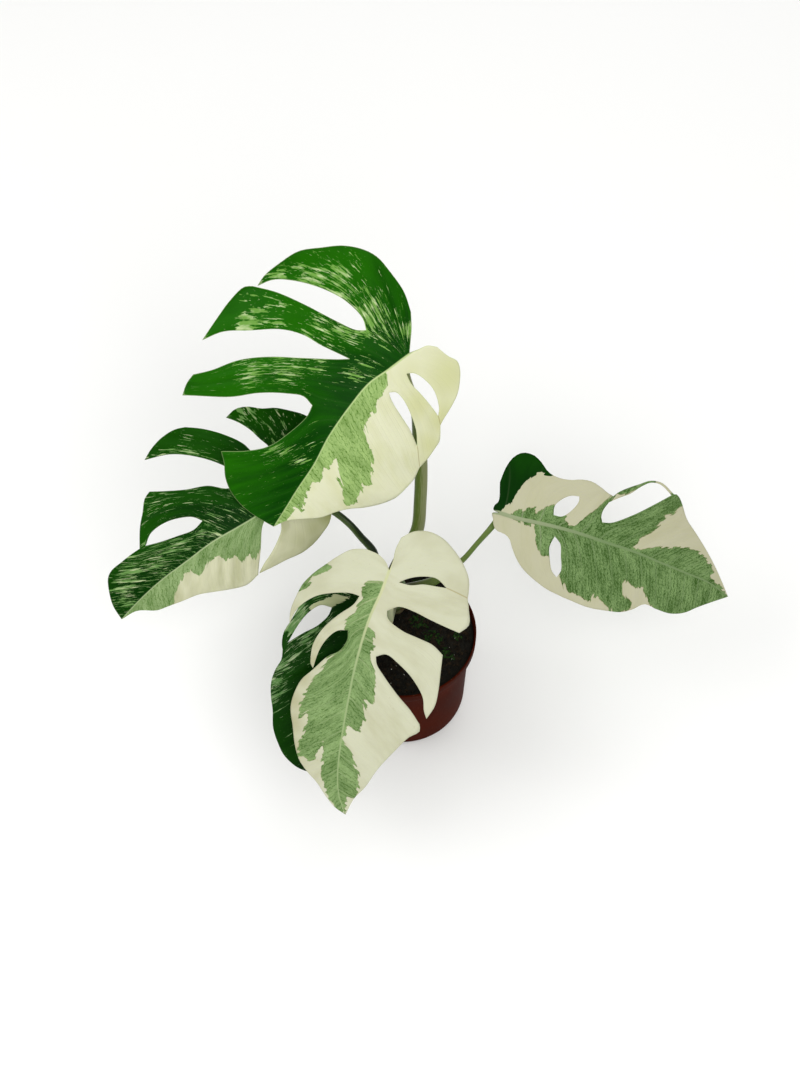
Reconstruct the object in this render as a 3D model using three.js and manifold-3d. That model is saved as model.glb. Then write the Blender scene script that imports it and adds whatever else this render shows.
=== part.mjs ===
// A variegated monstera in a nursery pot. Millimetres, +Z up, the origin at the middle of the pot's base.
// -Y is the front and +X the right of someone who looks at it from there.
import * as THREE from "three";
import { mergeVertices } from "three/addons/utils/BufferGeometryUtils.js";
import Module from "manifold-3d";

const wasm = await Module();
wasm.setup();

// Driving dimensions
const GAP = 0.3; // clearance between neighbouring pieces
const POT_RIM_RADIUS = 60; // a 12 cm nursery pot
const POT_HEIGHT = 104;
const POT_BASE_RADIUS = 53;
const POT_WALL = 1.3;
const LIP_HEIGHT = 11;
const LIP_STEP = 5; // how far the lip stands out from the wall
const DRAIN_HOLES = 6;
const DRAIN_HOLE_RADIUS = 4;
const DRAIN_CIRCLE_RADIUS = 34;
const SOIL_LEVEL = 96;
const SOIL_ROUGHNESS = 1.3;
const STEM = { x: -7, y: 27, foot: 60, top: 138, radius: 9 };
const BLADE_THICKNESS = 1;
const RIDGE_HALF_WIDTH = 3; // the midrib's raised band under the blade
const RIDGE_AT_BASE = 2.2;
const RIDGE_AT_TIP = 0.6;
const CURL_SPAN = 100; // the droop's curl in degrees is given over this width
const JOINT_AT = 2; // how far along the midrib the petiole meets it

// How finely a blade is divided
const ROWS = 8;
const RIM_STEP = 14;
const RELAX_PASSES = 60;

// Each blade is flat data bent into place. A flat point is [u, w]: u along the midrib from its base and
// w out from it. base, heading, pitch and roll place the midrib: the heading turns from +X, the pitch
// changes from base to tip, and a negative roll lowers the left half. The bow is the midrib's own curve
// in the blade, [u, v] with v positive to the left. droop is a half's slope at the midrib and its curl.
// The sinus is the edge from the base back to the first rim, the rims are the outer edges of the lobes in
// order to the tip, and each slot starts at a station on the midrib, opens at its pit and has an edge on
// the base side and one on the tip side. Where a join is given the two edges meet again there, so that the
// slot is a hole. A strap is a narrow strip of margin that runs on past the mouth.
const LEAVES = {
  top: {
    color: 0x4f7f35,
    base: [5, 117, 315],
    heading: -139.3,
    length: 174,
    pitch: [-10, -62],
    roll: [-40, -40],
    wave: [1.2, 62, 0.6],
    bow: [[0, 0], [20, -1.5], [37, -4], [59, -2.5], [86, 0], [110, 3.5], [136, 3], [156, 2], [174, 0]],
    left: {
      droop: [14, 25],
      sinus: [[-8, 2], [-15, 4]],
      rims: [
        [[-21, 10], [-25, 22], [-29.5, 31], [-28.5, 38], [-25, 45], [-18, 54], [-10, 59.5], [8.5, 69]],
        [[8.5, 69], [13, 76], [18.5, 82], [27, 84.5], [43, 87.5], [61.5, 88]],
        [[61.5, 88], [78, 91.5], [95, 88.5], [113, 83], [127, 73], [135, 62], [139, 52], [146, 42], [155, 33],
          [160, 20], [165, 8], [174, 0]],
      ],
      slots: [
        { station: 5, pit: [10.5, 11], near: [[5, 15], [0, 26], [-1.8, 39], [1.5, 54]],
          far: [[11.7, 20], [9.5, 34], [7.3, 49]], join: [6, 59.7] },
        { station: 22, pit: [30.5, 13], near: [[26, 17], [25, 26], [27.5, 40], [34, 57]],
          far: [[33, 20], [35.5, 36], [38, 52]], join: [44, 68.5] },
      ],
    },
    right: {
      droop: [8, 18],
      sinus: [[-6, 6], [-13, 13]],
      rims: [
        [[-21, 23], [-27, 38], [-29, 57], [-29, 70], [-25, 81], [-15, 94], [-1, 104], [10, 112],
          [24, 115], [36, 116], [43, 114]],
        [[45, 116.5], [49, 121], [60, 122], [74, 121], [90, 120]],
        [[111, 110.5], [119, 111], [127, 109]],
        [[142, 61], [148, 55], [157, 49], [164, 41], [169, 31], [172, 20], [174, 0]],
      ],
      slots: [
        { station: 5, pit: [13, 34], near: [[9.5, 42], [10, 60], [15, 77], [25, 97], [34, 109]],
          far: [[18, 39], [24, 55], [31, 79], [38, 101]] },
        { station: 22, pit: [35, 27], near: [[42, 49], [45, 63], [52, 78], [66, 95], [78, 111]],
          far: [[41, 33], [53, 48], [70, 71], [86, 89], [100, 100]] },
        { station: 64, pit: [76, 24], near: [[75, 33], [81, 44], [93, 61], [105, 75], [117, 93]],
          far: [[84, 22], [101, 25], [118, 32], [130, 44]] },
      ],
    },
  },
  left: {
    color: 0x3f6b33,
    base: [-74, 66, 225],
    heading: -149.6,
    length: 186,
    pitch: [0, -45],
    roll: [-40, -40],
    wave: [1, 58, 2.1],
    bow: [[0, 0], [24, 4.5], [48, 6.5], [65, 6], [88, 4], [112, 3.5], [138, 1.5], [163, 0.5], [186, 0]],
    left: {
      droop: [14, 25],
      sinus: [[-6, 4], [-11, 14]],
      rims: [
        [[-13, 24], [-11, 34], [-6, 44], [2, 50], [12, 54], [27, 56], [45, 54], [60, 53], [74, 51]],
        [[75.5, 51.5], [90, 53], [104, 47], [117, 39], [128, 32], [141, 27], [154, 21], [162, 17],
          [172, 5], [186, 0]],
      ],
      slots: [
        { station: 30, pit: [38, 10], near: [[33, 17], [35.5, 27], [43, 34], [54, 41], [64, 45.5]],
          far: [[47, 15.5], [60.5, 34]] },
      ],
    },
    right: {
      droop: [8, 18],
      sinus: [[-8, 7], [-18, 15]],
      rims: [
        [[-27, 26], [-27, 36], [-21, 46], [-12, 54], [-4, 60], [5, 64], [14, 71], [22, 73.5], [30, 71]],
        [[57, 81], [64, 84], [74, 84.5], [84, 82], [92, 78]],
        [[102, 56], [108, 54], [115, 47], [123, 40], [134, 27.5]],
        [[134, 27.5], [143, 29], [152, 30], [162, 31], [168, 29], [175, 22], [182, 12], [186, 0]],
      ],
      slots: [
        { station: 6, pit: [18, 24], near: [[14, 34], [17, 44], [20, 54], [25, 64]],
          far: [[25, 34], [29, 47], [37, 60], [47, 72]] },
        { station: 36, pit: [46, 22], near: [[45, 31], [51, 43], [62, 57], [76, 70]],
          far: [[55, 23], [66, 33], [80, 40], [93, 49]] },
        { station: 74, pit: [84, 13.5], near: [[88, 20], [97, 26], [108, 30], [120, 30.5]],
          far: [[93, 12], [106, 16], [119, 21]], join: [129, 26] },
      ],
    },
  },
  front: {
    color: 0xe4e6c6,
    base: [-10, -14, 222],
    heading: -103.2,
    length: 198,
    pitch: [-15, -65],
    roll: [0, 0],
    wave: [0.9, 66, 1.2],
    bow: [[0, 0], [19, -2.5], [35, -6], [50, -8], [78, -10], [109, -10.5], [146, -10.5], [164, -9.5],
      [181, -6.5], [198, 0]],
    left: {
      droop: [8, 20],
      sinus: [[-9, 1], [-18, 1]],
      rims: [
        [[-27, 3], [-34, 11], [-37, 22], [-35, 33], [-29, 43], [-20, 53], [-10, 60], [-2, 62], [5, 62.5]],
        [[5, 62.5], [13, 65], [26, 68], [34, 62]],
        [[54, 53], [68, 54], [83, 55], [96, 54.5], [107, 50]],
        [[112, 45.5], [118, 46.5], [124, 39], [137, 30], [153, 20], [171, 12], [182, 5], [198, 0]],
      ],
      slots: [
        { station: 2, pit: [7, 9], near: [[2, 16], [-2, 26], [-3, 36]],
          far: [[7, 18], [4, 27], [3, 36]], join: [2, 45] },
        { station: 27, pit: [30, 5], near: [[25, 13], [26, 25], [29, 37], [32, 51]],
          far: [[35.5, 7], [42, 19], [45, 32], [48, 44]] },
        { station: 61, pit: [65, 3.8], near: [[62, 11], [67, 21], [76, 33], [90, 44], [101, 47]],
          far: [[70.5, 5.5], [79, 13], [91, 25], [102, 37]] },
      ],
    },
    right: {
      droop: [8, 20],
      sinus: [[-6, 4], [-11, 11]],
      rims: [
        [[-14, 22], [-12, 33], [-6, 42], [2, 51], [11, 60], [20, 66], [32, 69], [44, 70.5], [54, 69]],
        [[76, 46], [81, 45], [84, 42.5]],
        [[86, 43], [95, 50], [107, 54], [119, 55], [134, 51], [150, 47], [161, 42], [169, 34], [176, 25],
          [186, 17], [194, 9], [198, 0]],
      ],
      slots: [
        { station: 14, pit: [23, 18], near: [[22, 26], [24, 39], [29, 53], [41, 65]],
          far: [[30, 21], [40, 31], [53, 41], [66, 46]] },
        { station: 40, pit: [50, 21], near: [[52, 29], [59, 35.5], [69, 40]],
          far: [[57, 20], [66, 24], [73, 33]] },
      ],
    },
  },
  low: {
    color: 0x1f4a1e,
    base: [-31, -11, 170],
    heading: -106.3,
    length: 143,
    pitch: [-15, -55],
    roll: [-22, -22],
    wave: [1, 50, 0],
    bow: [[0, 0], [143, 0]],
    left: {
      droop: [40, 18],
      sinus: [[-5, 4], [-8, 8]],
      rims: [
        [[-10, 14], [-6, 20], [2, 25], [14, 30], [30, 34], [46, 36], [62, 36], [80, 33], [97, 29], [113, 24],
          [128, 14], [143, 0]],
      ],
      slots: [],
    },
    right: {
      droop: [5, 17],
      sinus: [[-6, 5], [-13, 13]],
      rims: [
        [[-17, 23], [-14, 33], [-6, 40], [6, 44], [18, 46], [29, 49], [38, 52], [46, 51.5], [51, 49.5]],
        [[51, 49.5], [58, 48.5], [66, 51], [76, 52], [86, 50], [96, 46.5], [109, 43.5], [120, 38], [130, 31],
          [138, 20], [141, 10], [143, 0]],
      ],
      slots: [
        { station: 3, pit: [11.5, 21.5], near: [[12, 30], [19, 37], [29, 42]],
          far: [[18, 22.5], [27, 28], [36, 38]], join: [45, 47] },
      ],
    },
  },
  right: {
    color: 0x6f9157,
    base: [75, 48, 205],
    heading: -8.3,
    length: 212,
    pitch: [-2, -45],
    roll: [30, 25],
    wave: [1.1, 70, 2.6],
    bow: [[0, 0], [14, -2], [32, -2.5], [60, -3], [88, -4], [113, -3.5], [134, -3.5], [162, -2],
      [186, 0.5], [212, 0]],
    left: {
      droop: [4, 7],
      sinus: [[-5, 2], [-4.5, 5.5], [-2, 9]],
      rims: [
        [[-3, 24], [0, 36], [4.5, 45], [11, 49.8], [19, 49.2], [25, 45], [32, 38], [40, 35.5], [49, 36],
          [57, 38.5], [66, 39], [75, 36]],
        [[75, 36], [79.5, 34], [84, 33]],
        [[131.6, 52.6], [134, 53.5], [137, 52.2], [141.4, 47.6], [148.5, 38.6], [161, 31], [183, 18], [212, 0]],
      ],
      slots: [
        { station: 38, pit: [41.5, 6], near: [[41, 13], [46, 20], [52, 24]],
          far: [[48, 6.3], [54, 12], [58.5, 21]], join: [58, 25] },
        { station: 74, pit: [80.2, 10.3], near: [[78.4, 14.6], [78.8, 20]],
          far: [[87.3, 12.1], [103.2, 23.9], [118.4, 38.9]],
          strap: {
            inner: [[81.7, 27.1], [89, 33.3], [96.6, 39.3], [103.2, 47.4], [110.2, 53.6], [118.5, 55.2],
              [129.7, 50.9]],
            outer: [[84, 33], [87.5, 37.6], [94, 43.3], [101.8, 49.3], [109.1, 54.8], [118.8, 57],
              [131.6, 52.6]],
          } },
      ],
    },
    right: {
      droop: [8, 17],
      sinus: [[-5.5, 1], [-4.5, 5]],
      rims: [
        [[-3.5, 9.5], [-1, 13.5], [7, 16], [11, 19], [14, 25], [20.5, 34.5], [29, 42], [49, 51.5], [67, 55]],
        [[67, 55], [92, 57], [108, 55], [123, 51.5], [132, 46], [140, 38.5], [153, 38], [168, 36], [180, 30],
          [189, 21], [212, 0]],
      ],
      slots: [
        { station: 38, pit: [46, 10], near: [[44, 19], [47, 29], [51, 37]],
          far: [[52, 15], [55, 24], [58.5, 35]], join: [56.5, 41] },
      ],
    },
  },
};

// A petiole's route from the stem to just below its blade, with its radius at each point. The last stretch
// is added from the blade: it turns up square to the underside.
const PETIOLES = {
  top: {
    color: 0x86a35c,
    route: [[-7, 27, 134], [-6, 29, 145], [2, 41, 157], [11.5, 54, 170], [14, 70, 191], [14.5, 86, 215],
      [12.5, 97, 240], [10.8, 103, 262], [2.2, 113.5, 289]],
    radii: [6.8, 6.6, 6, 5.2, 5.1, 5.1, 5.1, 4.8, 4.2, 4.2, 4.2, 4],
  },
  left: {
    color: 0x35502a,
    route: [[-8, 27.5, 112], [-19, 32, 118], [-22, 36, 136], [-23, 41, 158], [-33, 45, 175], [-41, 50, 184.5],
      [-51, 56.5, 190], [-63, 63, 194], [-74, 70, 202]],
    radii: [6, 5.4, 3.8, 3.2, 2.9, 2.8, 2.8, 2.8, 3, 3.2, 3.2, 2.8],
  },
  front: {
    color: 0x7d9160,
    route: [[-7, 25, 124], [-8, 14, 128], [-10, 0, 133], [-11, -13, 144], [-10.5, -20, 164], [-10, -18, 190]],
    radii: [6, 5.4, 4.2, 3.8, 3.4, 3.2, 3.4, 3.4, 3],
  },
  low: {
    color: 0x2f5a26,
    route: [[-8, 25, 104], [-16, 17, 107], [-23, 7, 117], [-29, -3, 137]],
    radii: [5.6, 4.8, 3.6, 3, 3, 2.8, 2.4],
  },
  right: {
    color: 0x74a04f,
    route: [[-6, 27, 118], [6, 26, 125.5], [24, 25, 139], [46.5, 29.5, 163.5], [59.5, 37, 180], [69.5, 43.5, 191.5]],
    radii: [6, 5.2, 3.9, 2.2, 2, 2.4, 3, 3.1, 2.8],
  },
};

const pair = ([u, w]) => new THREE.Vector2(u, w);

// A smooth curve through flat points, which crowd where it turns and spread where it runs straight
function smooth(points) {
  const curve = new THREE.CatmullRomCurve3(
    points.map((p) => new THREE.Vector3(p.x, p.y, 0)),
    false,
    "centripetal",
  );
  return (t) => {
    const p = curve.getPoint(t);
    return new THREE.Vector2(p.x, p.y);
  };
}

function solidOf(geometry) {
  geometry.deleteAttribute("normal");
  geometry.deleteAttribute("uv");
  const merged = mergeVertices(geometry, 1e-4);
  return new wasm.Manifold(
    new wasm.Mesh({
      numProp: 3,
      vertProperties: merged.attributes.position.array,
      triVerts: new Uint32Array(merged.index.array),
    }),
  );
}

function geometryOf(solid) {
  const mesh = solid.getMesh();
  const geometry = new THREE.BufferGeometry();
  geometry.setAttribute("position", new THREE.BufferAttribute(mesh.vertProperties, 3));
  geometry.setIndex(new THREE.BufferAttribute(mesh.triVerts, 1));
  geometry.computeVertexNormals();
  return geometry;
}

function named(name, geometry, color, roughness) {
  const material = new THREE.MeshStandardMaterial({ color, roughness, metalness: 0 });
  const mesh = new THREE.Mesh(geometry, material);
  mesh.name = name;
  return mesh;
}

// Pot: one thin plastic shell with a flat base, drain holes around the middle and a stepped-out lip
const lipBottom = POT_HEIGHT - LIP_HEIGHT;
const wallTop = POT_RIM_RADIUS - LIP_STEP;

function potShell() {
  const insideLip = POT_RIM_RADIUS - POT_WALL;
  const profile = [
    [0, 0],
    [POT_BASE_RADIUS - 3.5, 0],
    [POT_BASE_RADIUS - 0.9, 1.6],
    [POT_BASE_RADIUS, 5],
    [wallTop, lipBottom],
    [POT_RIM_RADIUS - 0.8, lipBottom + 0.6],
    [POT_RIM_RADIUS, lipBottom + 1.8],
    [POT_RIM_RADIUS, POT_HEIGHT - 0.8],
    [POT_RIM_RADIUS - 0.7, POT_HEIGHT],
    [insideLip, POT_HEIGHT - 0.4],
    [insideLip - 0.3, lipBottom + 2.6],
    [wallTop - POT_WALL, lipBottom + 0.8],
    [POT_BASE_RADIUS - POT_WALL, 5],
    [POT_BASE_RADIUS - 4, 2],
    [0, 2],
  ];
  const shell = solidOf(new THREE.LatheGeometry(profile.map(pair), 48).rotateX(Math.PI / 2));
  let pierced = shell;
  for (let i = 0; i < DRAIN_HOLES; i++) {
    const turn = ((i + 0.5) / DRAIN_HOLES) * 2 * Math.PI;
    const drill = new THREE.CylinderGeometry(DRAIN_HOLE_RADIUS, DRAIN_HOLE_RADIUS, 6, 12);
    drill.rotateX(Math.PI / 2);
    drill.translate(DRAIN_CIRCLE_RADIUS * Math.cos(turn), DRAIN_CIRCLE_RADIUS * Math.sin(turn), 1);
    pierced = pierced.subtract(solidOf(drill));
  }
  return pierced;
}

// Stem: short and thick, ringed by the scars of old leaves
function stemSolid(grow) {
  const { foot, top, radius } = STEM;
  const profile = [
    [0, foot - grow],
    [5.5 + grow, foot - grow],
    [8 + grow, foot + 5],
    [radius + grow, foot + 18],
    [radius + grow, 97],
    [radius + 0.9 + grow, 99],
    [radius + grow, 101],
    [radius - 0.4 + grow, 112],
    [radius + 0.5 + grow, 114],
    [radius - 0.4 + grow, 116],
    [radius - 1 + grow, 127],
    [radius - 0.2 + grow, 129],
    [radius - 1.2 + grow, 131],
    [6.8 + grow, top + grow],
    [0, top + grow],
  ];
  const lathe = new THREE.LatheGeometry(profile.map(pair), 16).rotateX(Math.PI / 2);
  return solidOf(lathe.translate(STEM.x, STEM.y, 0));
}

// Soil: fills the pot to below the rim, with an uneven top and a plain hole for the stem
function soilSolid() {
  const side = POT_WALL + GAP + 0.2;
  const floor = 2 + GAP;
  const profile = [
    [0, floor],
    [POT_BASE_RADIUS - 4 - GAP, floor],
    [POT_BASE_RADIUS - side, 5],
    [wallTop - side, lipBottom + 1.3],
    [POT_RIM_RADIUS - side - 0.6, lipBottom + 3.1],
    [POT_RIM_RADIUS - side - 0.6, SOIL_LEVEL + 1.2],
    [49, SOIL_LEVEL + 0.6],
    [39, SOIL_LEVEL + 0.8],
    [29, SOIL_LEVEL + 1],
    [19, SOIL_LEVEL + 1],
    [9, SOIL_LEVEL + 1],
    [0, SOIL_LEVEL + 1],
  ];
  const lathe = new THREE.LatheGeometry(profile.map(pair), 36).rotateX(Math.PI / 2);
  const position = lathe.attributes.position;
  for (let i = 0; i < position.count; i++) {
    const x = position.getX(i);
    const y = position.getY(i);
    const inner = Math.hypot(x, y) < 50 && position.getZ(i) > SOIL_LEVEL;
    if (!inner) continue;
    const lumps = Math.sin(x * 0.21 + 1) * Math.cos(y * 0.17) + 0.6 * Math.sin(x * 0.43 - y * 0.38);
    position.setZ(i, position.getZ(i) + SOIL_ROUGHNESS * lumps);
  }
  return solidOf(lathe).subtract(stemSolid(GAP));
}

// The midrib at u: its point, and the directions along it, to its left and up through the blade
function midrib(leaf, u) {
  const { degToRad, lerp, clamp } = THREE.MathUtils;
  const start = degToRad(leaf.pitch[0]);
  const bend = (degToRad(leaf.pitch[1]) - start) / leaf.length;
  const pitch = start + bend * Math.max(u, 0);
  const run = u > 0 ? (Math.sin(pitch) - Math.sin(start)) / bend : u * Math.cos(start);
  const rise = u > 0 ? (Math.cos(start) - Math.cos(pitch)) / bend : u * Math.sin(start);
  const turn = degToRad(leaf.heading);
  const ahead = new THREE.Vector3(Math.cos(turn), Math.sin(turn), 0);
  const level = new THREE.Vector3(-Math.sin(turn), Math.cos(turn), 0);
  const point = new THREE.Vector3(...leaf.base).addScaledVector(ahead, run);
  point.z += rise;
  const up = ahead.clone().multiplyScalar(-Math.sin(pitch));
  up.z = Math.cos(pitch);
  const roll = degToRad(lerp(...leaf.roll, clamp(u / leaf.length, -0.3, 1.1)));
  const side = level.clone().multiplyScalar(Math.cos(roll)).addScaledVector(up, Math.sin(roll));
  const normal = up.clone().multiplyScalar(Math.cos(roll)).addScaledVector(level, -Math.sin(roll));
  return { point, side, normal };
}

// How far the bowed midrib lies from its straight line at u
function bowAt(leaf, u) {
  const line = leaf.bow.map(pair);
  const last = line.length - 1;
  const next = Math.min(Math.max(line.findIndex((p) => p.x > u), 1), last);
  const at = u > line[last].x ? last : next;
  const route = smooth(line);
  let [low, high] = [(at - 1) / last, at / last];
  for (let halving = 0; halving < 30; halving++) {
    const middle = (low + high) / 2;
    if (route(middle).x < u) low = middle;
    else high = middle;
  }
  return route(low).y;
}

// A flat point bent into place, with v the distance from the midrib's straight line, positive on the left
function bent(leaf, u, v) {
  const bow = bowAt(leaf, u);
  const away = v - bow;
  const half = away > 0 ? leaf.left : leaf.right;
  const { point, side, normal } = midrib(leaf, u);
  const fold = THREE.MathUtils.degToRad(half.droop[0]);
  const rate = THREE.MathUtils.degToRad(half.droop[1]) / CURL_SPAN;
  const slope = fold + rate * Math.abs(away);
  const out = (Math.sin(slope) - Math.sin(fold)) / rate;
  const drop = (Math.cos(slope) - Math.cos(fold)) / rate;
  const [height, length, phase] = leaf.wave;
  const ripple = Math.sin((2 * Math.PI * (u + 0.35 * Math.abs(v))) / length + phase);
  const lift = height * Math.min(1.4, (v / 60) ** 2) * ripple;
  return point.addScaledVector(side, bow + Math.sign(away) * out).addScaledVector(normal, drop + lift);
}

const onMidrib = (leaf, u, v) => Math.abs(v - bowAt(leaf, u)) < 1e-3;

function bladeNormal(leaf, u, v) {
  if (onMidrib(leaf, u, v)) return midrib(leaf, u).normal;
  const step = 0.05;
  const here = bent(leaf, u, v);
  const outward = Math.sign(v - bowAt(leaf, u));
  const along = bent(leaf, u + step, v + bowAt(leaf, u + step) - bowAt(leaf, u)).sub(here);
  const across = bent(leaf, u, v + outward * step).sub(here).multiplyScalar(outward);
  return along.cross(across).normalize();
}

const ridgeAt = (leaf, u) => THREE.MathUtils.lerp(RIDGE_AT_BASE, RIDGE_AT_TIP, u / leaf.length);

// Flat points spread evenly from one row to another along a route
function spread(rows, from, to, route) {
  for (let row = from; row <= to; row++) rows[row] = route((row - from) / (to - from));
}

const straight = (a, b) => (t) => a.clone().lerp(b, t);

// The stretch of a seam from the midrib to the pit of its slot, its first row at the ridge's edge
function innerRows(rows, foot, pit, last) {
  const edge = straight(foot, pit)(Math.min(0.5, RIDGE_HALF_WIDTH / foot.distanceTo(pit)));
  rows[0] = foot;
  spread(rows, 1, last, straight(edge, pit));
}

// Both edges of the seam between two lobes, row by row from the midrib to the rim
function seamEdges(slot, foot, rimBefore, rimAfter) {
  const pit = pair(slot.pit);
  const meeting = slot.join ? pair(slot.join) : null;
  const strap = slot.strap?.inner.map(pair);
  const near = [pit, ...slot.near.map(pair), meeting ?? strap?.[0] ?? rimBefore];
  const far = [pit, ...slot.far.map(pair), meeting ?? strap?.at(-1) ?? rimAfter];
  const whole = foot.distanceTo(pit) + near[0].distanceTo(near.at(-1));
  const tail = meeting ? meeting.distanceTo(rimBefore) : 0;
  const share = (ROWS - 2) / (whole + tail);
  const opens = 1 + Math.max(1, Math.round(foot.distanceTo(pit) * share));
  const open = !meeting && !strap;
  const closes = open ? ROWS : ROWS - Math.max(1, Math.round(tail * share));
  return [[near, rimBefore], [far, rimAfter]].map(([points, rimPoint]) => {
    const rows = [];
    innerRows(rows, foot, pit, opens);
    spread(rows, opens, closes, smooth(points));
    if (!open) spread(rows, closes, ROWS, straight(points.at(-1), rimPoint));
    return rows;
  });
}

function sinusEdge(half) {
  const base = new THREE.Vector2(0, 0);
  const points = [base, ...half.sinus.map(pair), pair(half.rims[0][0])];
  const route = smooth(points);
  const rows = [];
  spread(rows, 0, ROWS, route);
  return rows;
}

function tipEdge(leaf) {
  return Array.from({ length: ROWS + 1 }, () => new THREE.Vector2(leaf.length, 0));
}

// The stations where columns stand, shared by both halves so that they meet along the midrib
function stationsOf(leaf) {
  const halves = [leaf.left, leaf.right];
  const starts = halves.flatMap((half) => half.slots.map((slot) => slot.station));
  const marks = [...new Set([0, ...starts, leaf.length])].sort((a, b) => a - b);
  const stations = [0];
  for (let i = 1; i < marks.length; i++) {
    const [from, to] = [marks[i - 1], marks[i]];
    const counts = halves.map((half) => {
      const ends = [0, ...half.slots.map((slot) => slot.station), leaf.length];
      const lobe = half.rims.findIndex((_, n) => ends[n] <= from && to <= ends[n + 1]);
      const rim = half.rims[lobe].map(pair);
      const length = rim.slice(1).reduce((sum, p, n) => sum + p.distanceTo(rim[n]), 0);
      return Math.ceil(((length / RIM_STEP) * (to - from)) / (ends[lobe + 1] - ends[lobe]));
    });
    const count = Math.max(...counts);
    for (let n = 1; n <= count; n++) stations.push(from + ((to - from) * n) / count);
  }
  return stations;
}

// How far along its whole length each row of an edge lies
function fractions(edge) {
  const lengths = [0];
  for (let row = 1; row <= ROWS; row++) lengths[row] = lengths[row - 1] + edge[row].distanceTo(edge[row - 1]);
  const whole = lengths[ROWS];
  return lengths.map((length, row) => (whole > 0 ? length / whole : row / ROWS));
}

// Evens out the points inside a lobe, so that no triangle folds over where its edges wind
function relax(columns) {
  const at = (i, j) => columns[i][j];
  for (let pass = 0; pass < RELAX_PASSES; pass++) {
    for (let i = 1; i + 1 < columns.length; i++) {
      for (let j = 2; j < ROWS; j++) {
        const along = at(i + 1, j).clone().sub(at(i - 1, j));
        const outward = at(i, j + 1).clone().sub(at(i, j - 1));
        const outer = at(i + 1, j + 1).clone().sub(at(i - 1, j + 1));
        const inner = at(i + 1, j - 1).clone().sub(at(i - 1, j - 1));
        const twist = outer.sub(inner);
        const sides = at(i + 1, j).clone().add(at(i - 1, j)).multiplyScalar(outward.lengthSq());
        const ends = at(i, j + 1).clone().add(at(i, j - 1)).multiplyScalar(along.lengthSq());
        const point = sides.add(ends).addScaledVector(twist, -along.dot(outward) / 2);
        columns[i][j] = point.divideScalar(2 * (along.lengthSq() + outward.lengthSq()));
      }
    }
  }
}

// One lobe as columns of flat points, stretched between its two edges, the midrib and its rim
function lobeColumns(near, far, rim, feet) {
  const rimRoute = smooth(rim.map(pair));
  const nearShare = fractions(near);
  const farShare = fractions(far);
  const columns = feet.map((inner) => {
    const s = (inner.x - near[0].x) / (far[0].x - near[0].x);
    const innerCorner = straight(near[0], far[0])(s);
    const outer = s === 0 ? near[ROWS] : s === 1 ? far[ROWS] : rimRoute(s);
    return near.map((nearPoint, row) => {
      if (s === 0) return nearPoint;
      if (s === 1) return far[row];
      const t = THREE.MathUtils.lerp(nearShare[row], farShare[row], s);
      const across = straight(nearPoint, far[row])(s);
      if (row === 1) return across.add(inner).sub(innerCorner);
      const outward = straight(inner, outer)(t);
      const corner = straight(innerCorner, straight(near[ROWS], far[ROWS])(s))(t);
      return across.add(outward).sub(corner);
    });
  });
  relax(columns);
  return columns;
}

function halfLobes(leaf, half, sign, stations) {
  const ends = [0, ...half.slots.map((slot) => slot.station), leaf.length];
  const edges = [sinusEdge(half)];
  const footAt = (station) => new THREE.Vector2(station, sign * bowAt(leaf, station));
  half.slots.forEach((slot, i) => {
    const [before, after] = [pair(half.rims[i].at(-1)), pair(half.rims[i + 1][0])];
    edges.push(...seamEdges(slot, footAt(slot.station), before, after));
  });
  edges.push(tipEdge(leaf));
  return half.rims.map((rim, i) => {
    const within = stations.filter((q) => q >= ends[i] && q <= ends[i + 1]);
    return lobeColumns(edges[2 * i], edges[2 * i + 1], rim, within.map(footAt));
  });
}

// A strap as columns of one inner and one outer point
function strapColumns(strap) {
  const edges = [strap.inner, strap.outer].map((points) => smooth(points.map(pair)));
  const count = strap.inner.length - 1;
  return Array.from({ length: count + 1 }, (_, i) => edges.map((edge) => edge(i / count)));
}

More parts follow.
